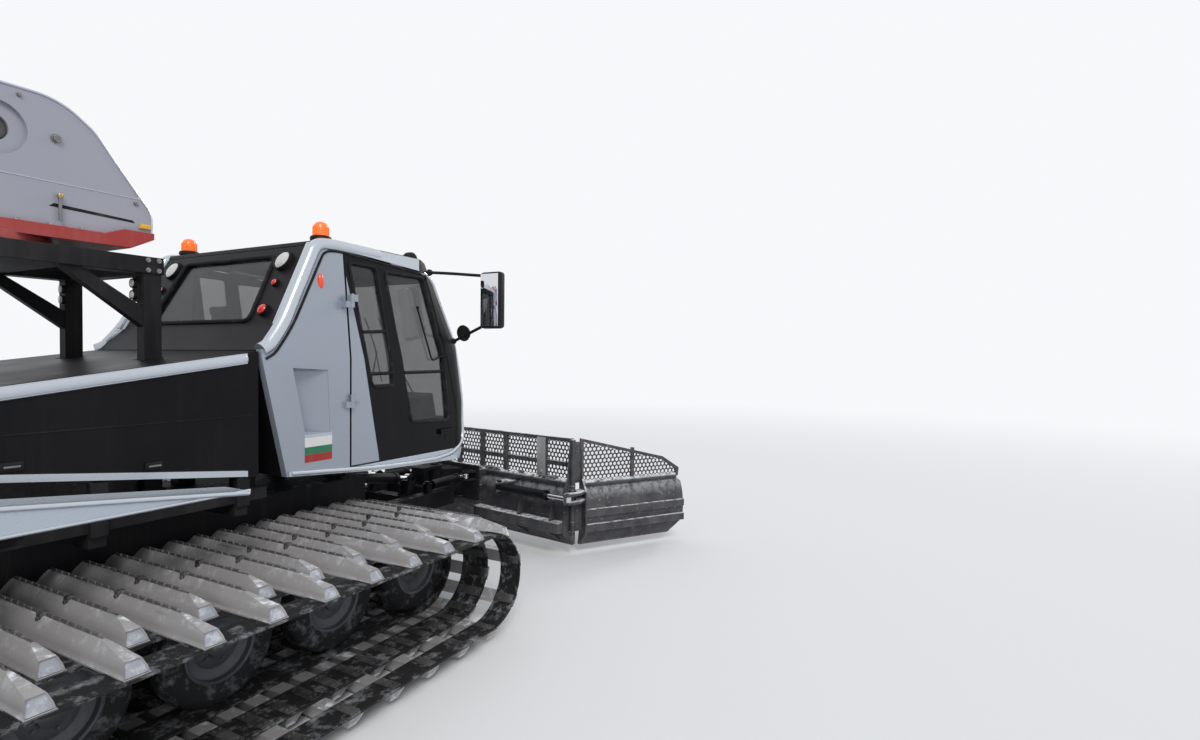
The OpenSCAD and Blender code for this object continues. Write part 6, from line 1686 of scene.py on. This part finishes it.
# The cutting edge leans back above its foot, and its bolts lean with it
EDGE_FOOT_Z, EDGE_LEAN = 0.09, 0.27
EDGE_OUT = (1, 0, -0.25)
SHEET_OUT = (1, 0, 0)
on_blade = [BLADE_PLACE]


def edge_x(foot, z):
    """Where the cutting edge's face stands at a height."""
    return foot - (z - EDGE_FOOT_Z) * EDGE_LEAN


bm = bmesh.new()
for step in range(15):
    for z in EDGE_BOLT_Z:
        add_bolt(bm, (edge_x(0.560, z), -1.400 + 0.200 * step, z), EDGE_OUT, 0.013, on_blade)
for y in (-1.30, -0.82, -0.35, 0.35, 0.82, 1.30):
    add_bar(bm, (0.4960, y - 0.03, 0.760), (0.4960, y + 0.03, 0.760), 0.016, 16, rounding=0.003,
            places=on_blade)
for y in (-1.2, -0.4, 0.4, 1.2):
    grip = [(0.500, y - 0.11, 0.722), (0.470, y - 0.11, 0.760), (0.470, y + 0.11, 0.760),
            (0.500, y + 0.11, 0.722)]
    add_pipe(bm, grip, 0.009, 10, bend=0.03, places=on_blade)
for y in (-1.45, -0.9, -0.37, 0.37, 0.9, 1.45):
    for z in (0.80, 0.95, 1.12):
        add_bolt(bm, (0.5465, y, z), SHEET_OUT, 0.008, on_blade)
finish_piece(bm, "blade_bolts", "blade", [steel])

# %% Posts on the wings' hinge pins
HINGE_X, HINGE_Y = 0.500, -1.525
bm = bmesh.new()
for place in (BLADE_PLACE, BLADE_PLACE @ MIRRORED):
    add_bar(bm, (HINGE_X, HINGE_Y, 0.700), (HINGE_X, HINGE_Y, 1.158), 0.026, 20, rounding=0.004,
            places=[place], material=1)
    add_block(bm, (0.5000, -1.153, 0.722), (0.5064, -1.037, 1.150), rounding=0.002, places=[place])
    add_bolt(bm, (0.4995, -1.095, 0.800), (-1, 0, 0), 0.014, [place])
finish_piece(bm, "hinge_posts", "blade", [aluminium, blade_paint])

# %% Webs, bolts and pin caps of the wings
PIN_CAP = [(0.0, 0.022), (0.020, 0.020), (0.028, 0.012), (0.028, 0.0)]
# columns: y, z of the bolts round each wing's sheet
WING_BOLTS = ((-0.125, 0.78), (-0.125, 1.12), (-0.70, 0.98), (-1.06, 0.895), (-1.25, 0.760))
for side, mirror in FROM_RIGHT:
    bm = bmesh.new()
    place = [BLADE_PLACE @ mirror @ WING_PLACE]
    add_block(bm, (0.004, -0.100, 0.722), (0.018, -0.031, 1.135), rounding=0.002, places=place, material=1)
    for step in range(6):
        for z in EDGE_BOLT_Z:
            add_bolt(bm, (edge_x(0.060, z), -0.200 - 0.190 * step, z), EDGE_OUT, 0.012, place)
    for y, z in WING_BOLTS:
        add_bolt(bm, (0.0415, y, z), SHEET_OUT, 0.008, place)
    for z in (0.330, 0.690):
        add_turned(bm, PIN_CAP, (0.0, 0.0, z), UPWARDS, 20, place)
    finish_piece(bm, f"wing_{side}_bolts", f"wing_{side}", [steel, blade_paint])

# %% [markdown]
# ## Tiller
# The rotor mills packed snow under a red hood, and a rubber comb behind it presses fine stripes. The
# comb is a row of moulded lobes that hang from one strip and end in thin fingers. Bolted clamps hold
# the strip.

# %% Finisher comb
COMB_HALF = 2.312
# columns: x, z down the comb's middle, from the hood to the ground
COMB_LINE = [(-4.190, 0.245), (-4.320, 0.190), (-4.480, 0.128), (-4.640, 0.090), (-4.795, 0.052)]
LOBES = 50
LOBE_PITCH = 0.0925
FINGERS = 2 * LOBES
bm = bmesh.new()
sheet = [(x, z - 0.010) for x, z in COMB_LINE] + [(x, z + 0.004) for x, z in reversed(COMB_LINE[:-1])]
add_plate(bm, sheet, -COMB_HALF + 0.02, COMB_HALF - 0.02)
for lobe in range(LOBES):
    y = (lobe - (LOBES - 1) / 2) * LOBE_PITCH
    add_pipe(bm, [(x, y, z + 0.012) for x, z in COMB_LINE], 0.016, 8, bend=0.05, steps=3)
for finger in range(FINGERS):
    y = (finger - (FINGERS - 1) / 2) * LOBE_PITCH / 2
    add_bar(bm, (-4.640, y, 0.086), (-4.797, y, 0.050), 0.013, 6, end_radius=0.006)
finish_piece(bm, "finisher_comb", "tiller", [comb_rubber], ["finisher"])

# %% Clamps of the comb
bm = bmesh.new()
for step in range(25):
    y = -2.16 + 0.18 * step
    add_block(bm, (-4.235, y - 0.035, 0.236), (-4.185, y + 0.035, 0.262), 0.004)
    add_bolt(bm, (-4.210, y, 0.262), UPWARDS, 0.010)
finish_piece(bm, "comb_clamps", "tiller", [steel])

# %% [markdown]
# ## Deck and fenders
# Raised strips give a foot its grip on the rear deck, and rings tie down what lies there. The fenders
# carry a rolled lip, which shines like the frame tubes, and dark brackets hold them.

# %% Deck fittings
DECK_Z = 1.2362
RING_Y = -1.130
bm = bmesh.new()
for row in range(12):
    for column in range(15):
        slant = Matrix.Rotation(math.radians(45 if (row + column) % 2 else -45), 4, "Z")
        spot = Matrix.Translation((-2.760 + 0.065 * row, -1.050 + 0.150 * column, DECK_Z)) @ slant
        add_block(bm, (-0.022, -0.004, -0.001), (0.022, 0.004, 0.0025), 0.0015, [spot])
for x in (-2.70, -2.12):
    add_turned(bm, [(0.0, 0.006), (0.030, 0.006), (0.034, 0.0)], (x, RING_Y, DECK_Z), UPWARDS, 20,
               LEFT_AND_RIGHT)
    ring = [(x - 0.02, 1.240), (x - 0.02, 1.285), (x + 0.02, 1.285), (x + 0.02, 1.240)]
    add_pipe(bm, [(ring_x, RING_Y, z) for ring_x, z in ring], 0.006, 10, bend=0.02, places=LEFT_AND_RIGHT)
finish_piece(bm, "deck_fittings", "hull", [dark_steel])

# %% Lips and brackets of the fenders
LIP_Y = -1.4985
FENDER_RISE = 0.1236
BRACKET_X, BRACKET_HALF = (-2.6, -1.9, -1.2), 0.0125
upper_lip = [(-0.250, 1.240), (-2.832, 1.238 + (2.832 - 0.234) * FENDER_RISE)]
lower_lip = [(-0.245, 1.254), (-2.832, 1.254)]
bm = bmesh.new()
for lip, radius in ((upper_lip, 0.013), (lower_lip, 0.009)):
    add_pipe(bm, [(x, LIP_Y, z) for x, z in lip], radius, 12, places=LEFT_AND_RIGHT)
finish_piece(bm, "fender_lips", "hull", [bright_trim])

fender_copy = bpy.data.objects["fenders_rounded"].data
fender_copy.materials.append(frame_paint)
for face in fender_copy.polygons:
    if min(abs(face.center.x - x) for x in BRACKET_X) < BRACKET_HALF:
        face.material_index = 1

# %% [markdown]
# ## Closing

# %% Closing
print("the machine is dressed")
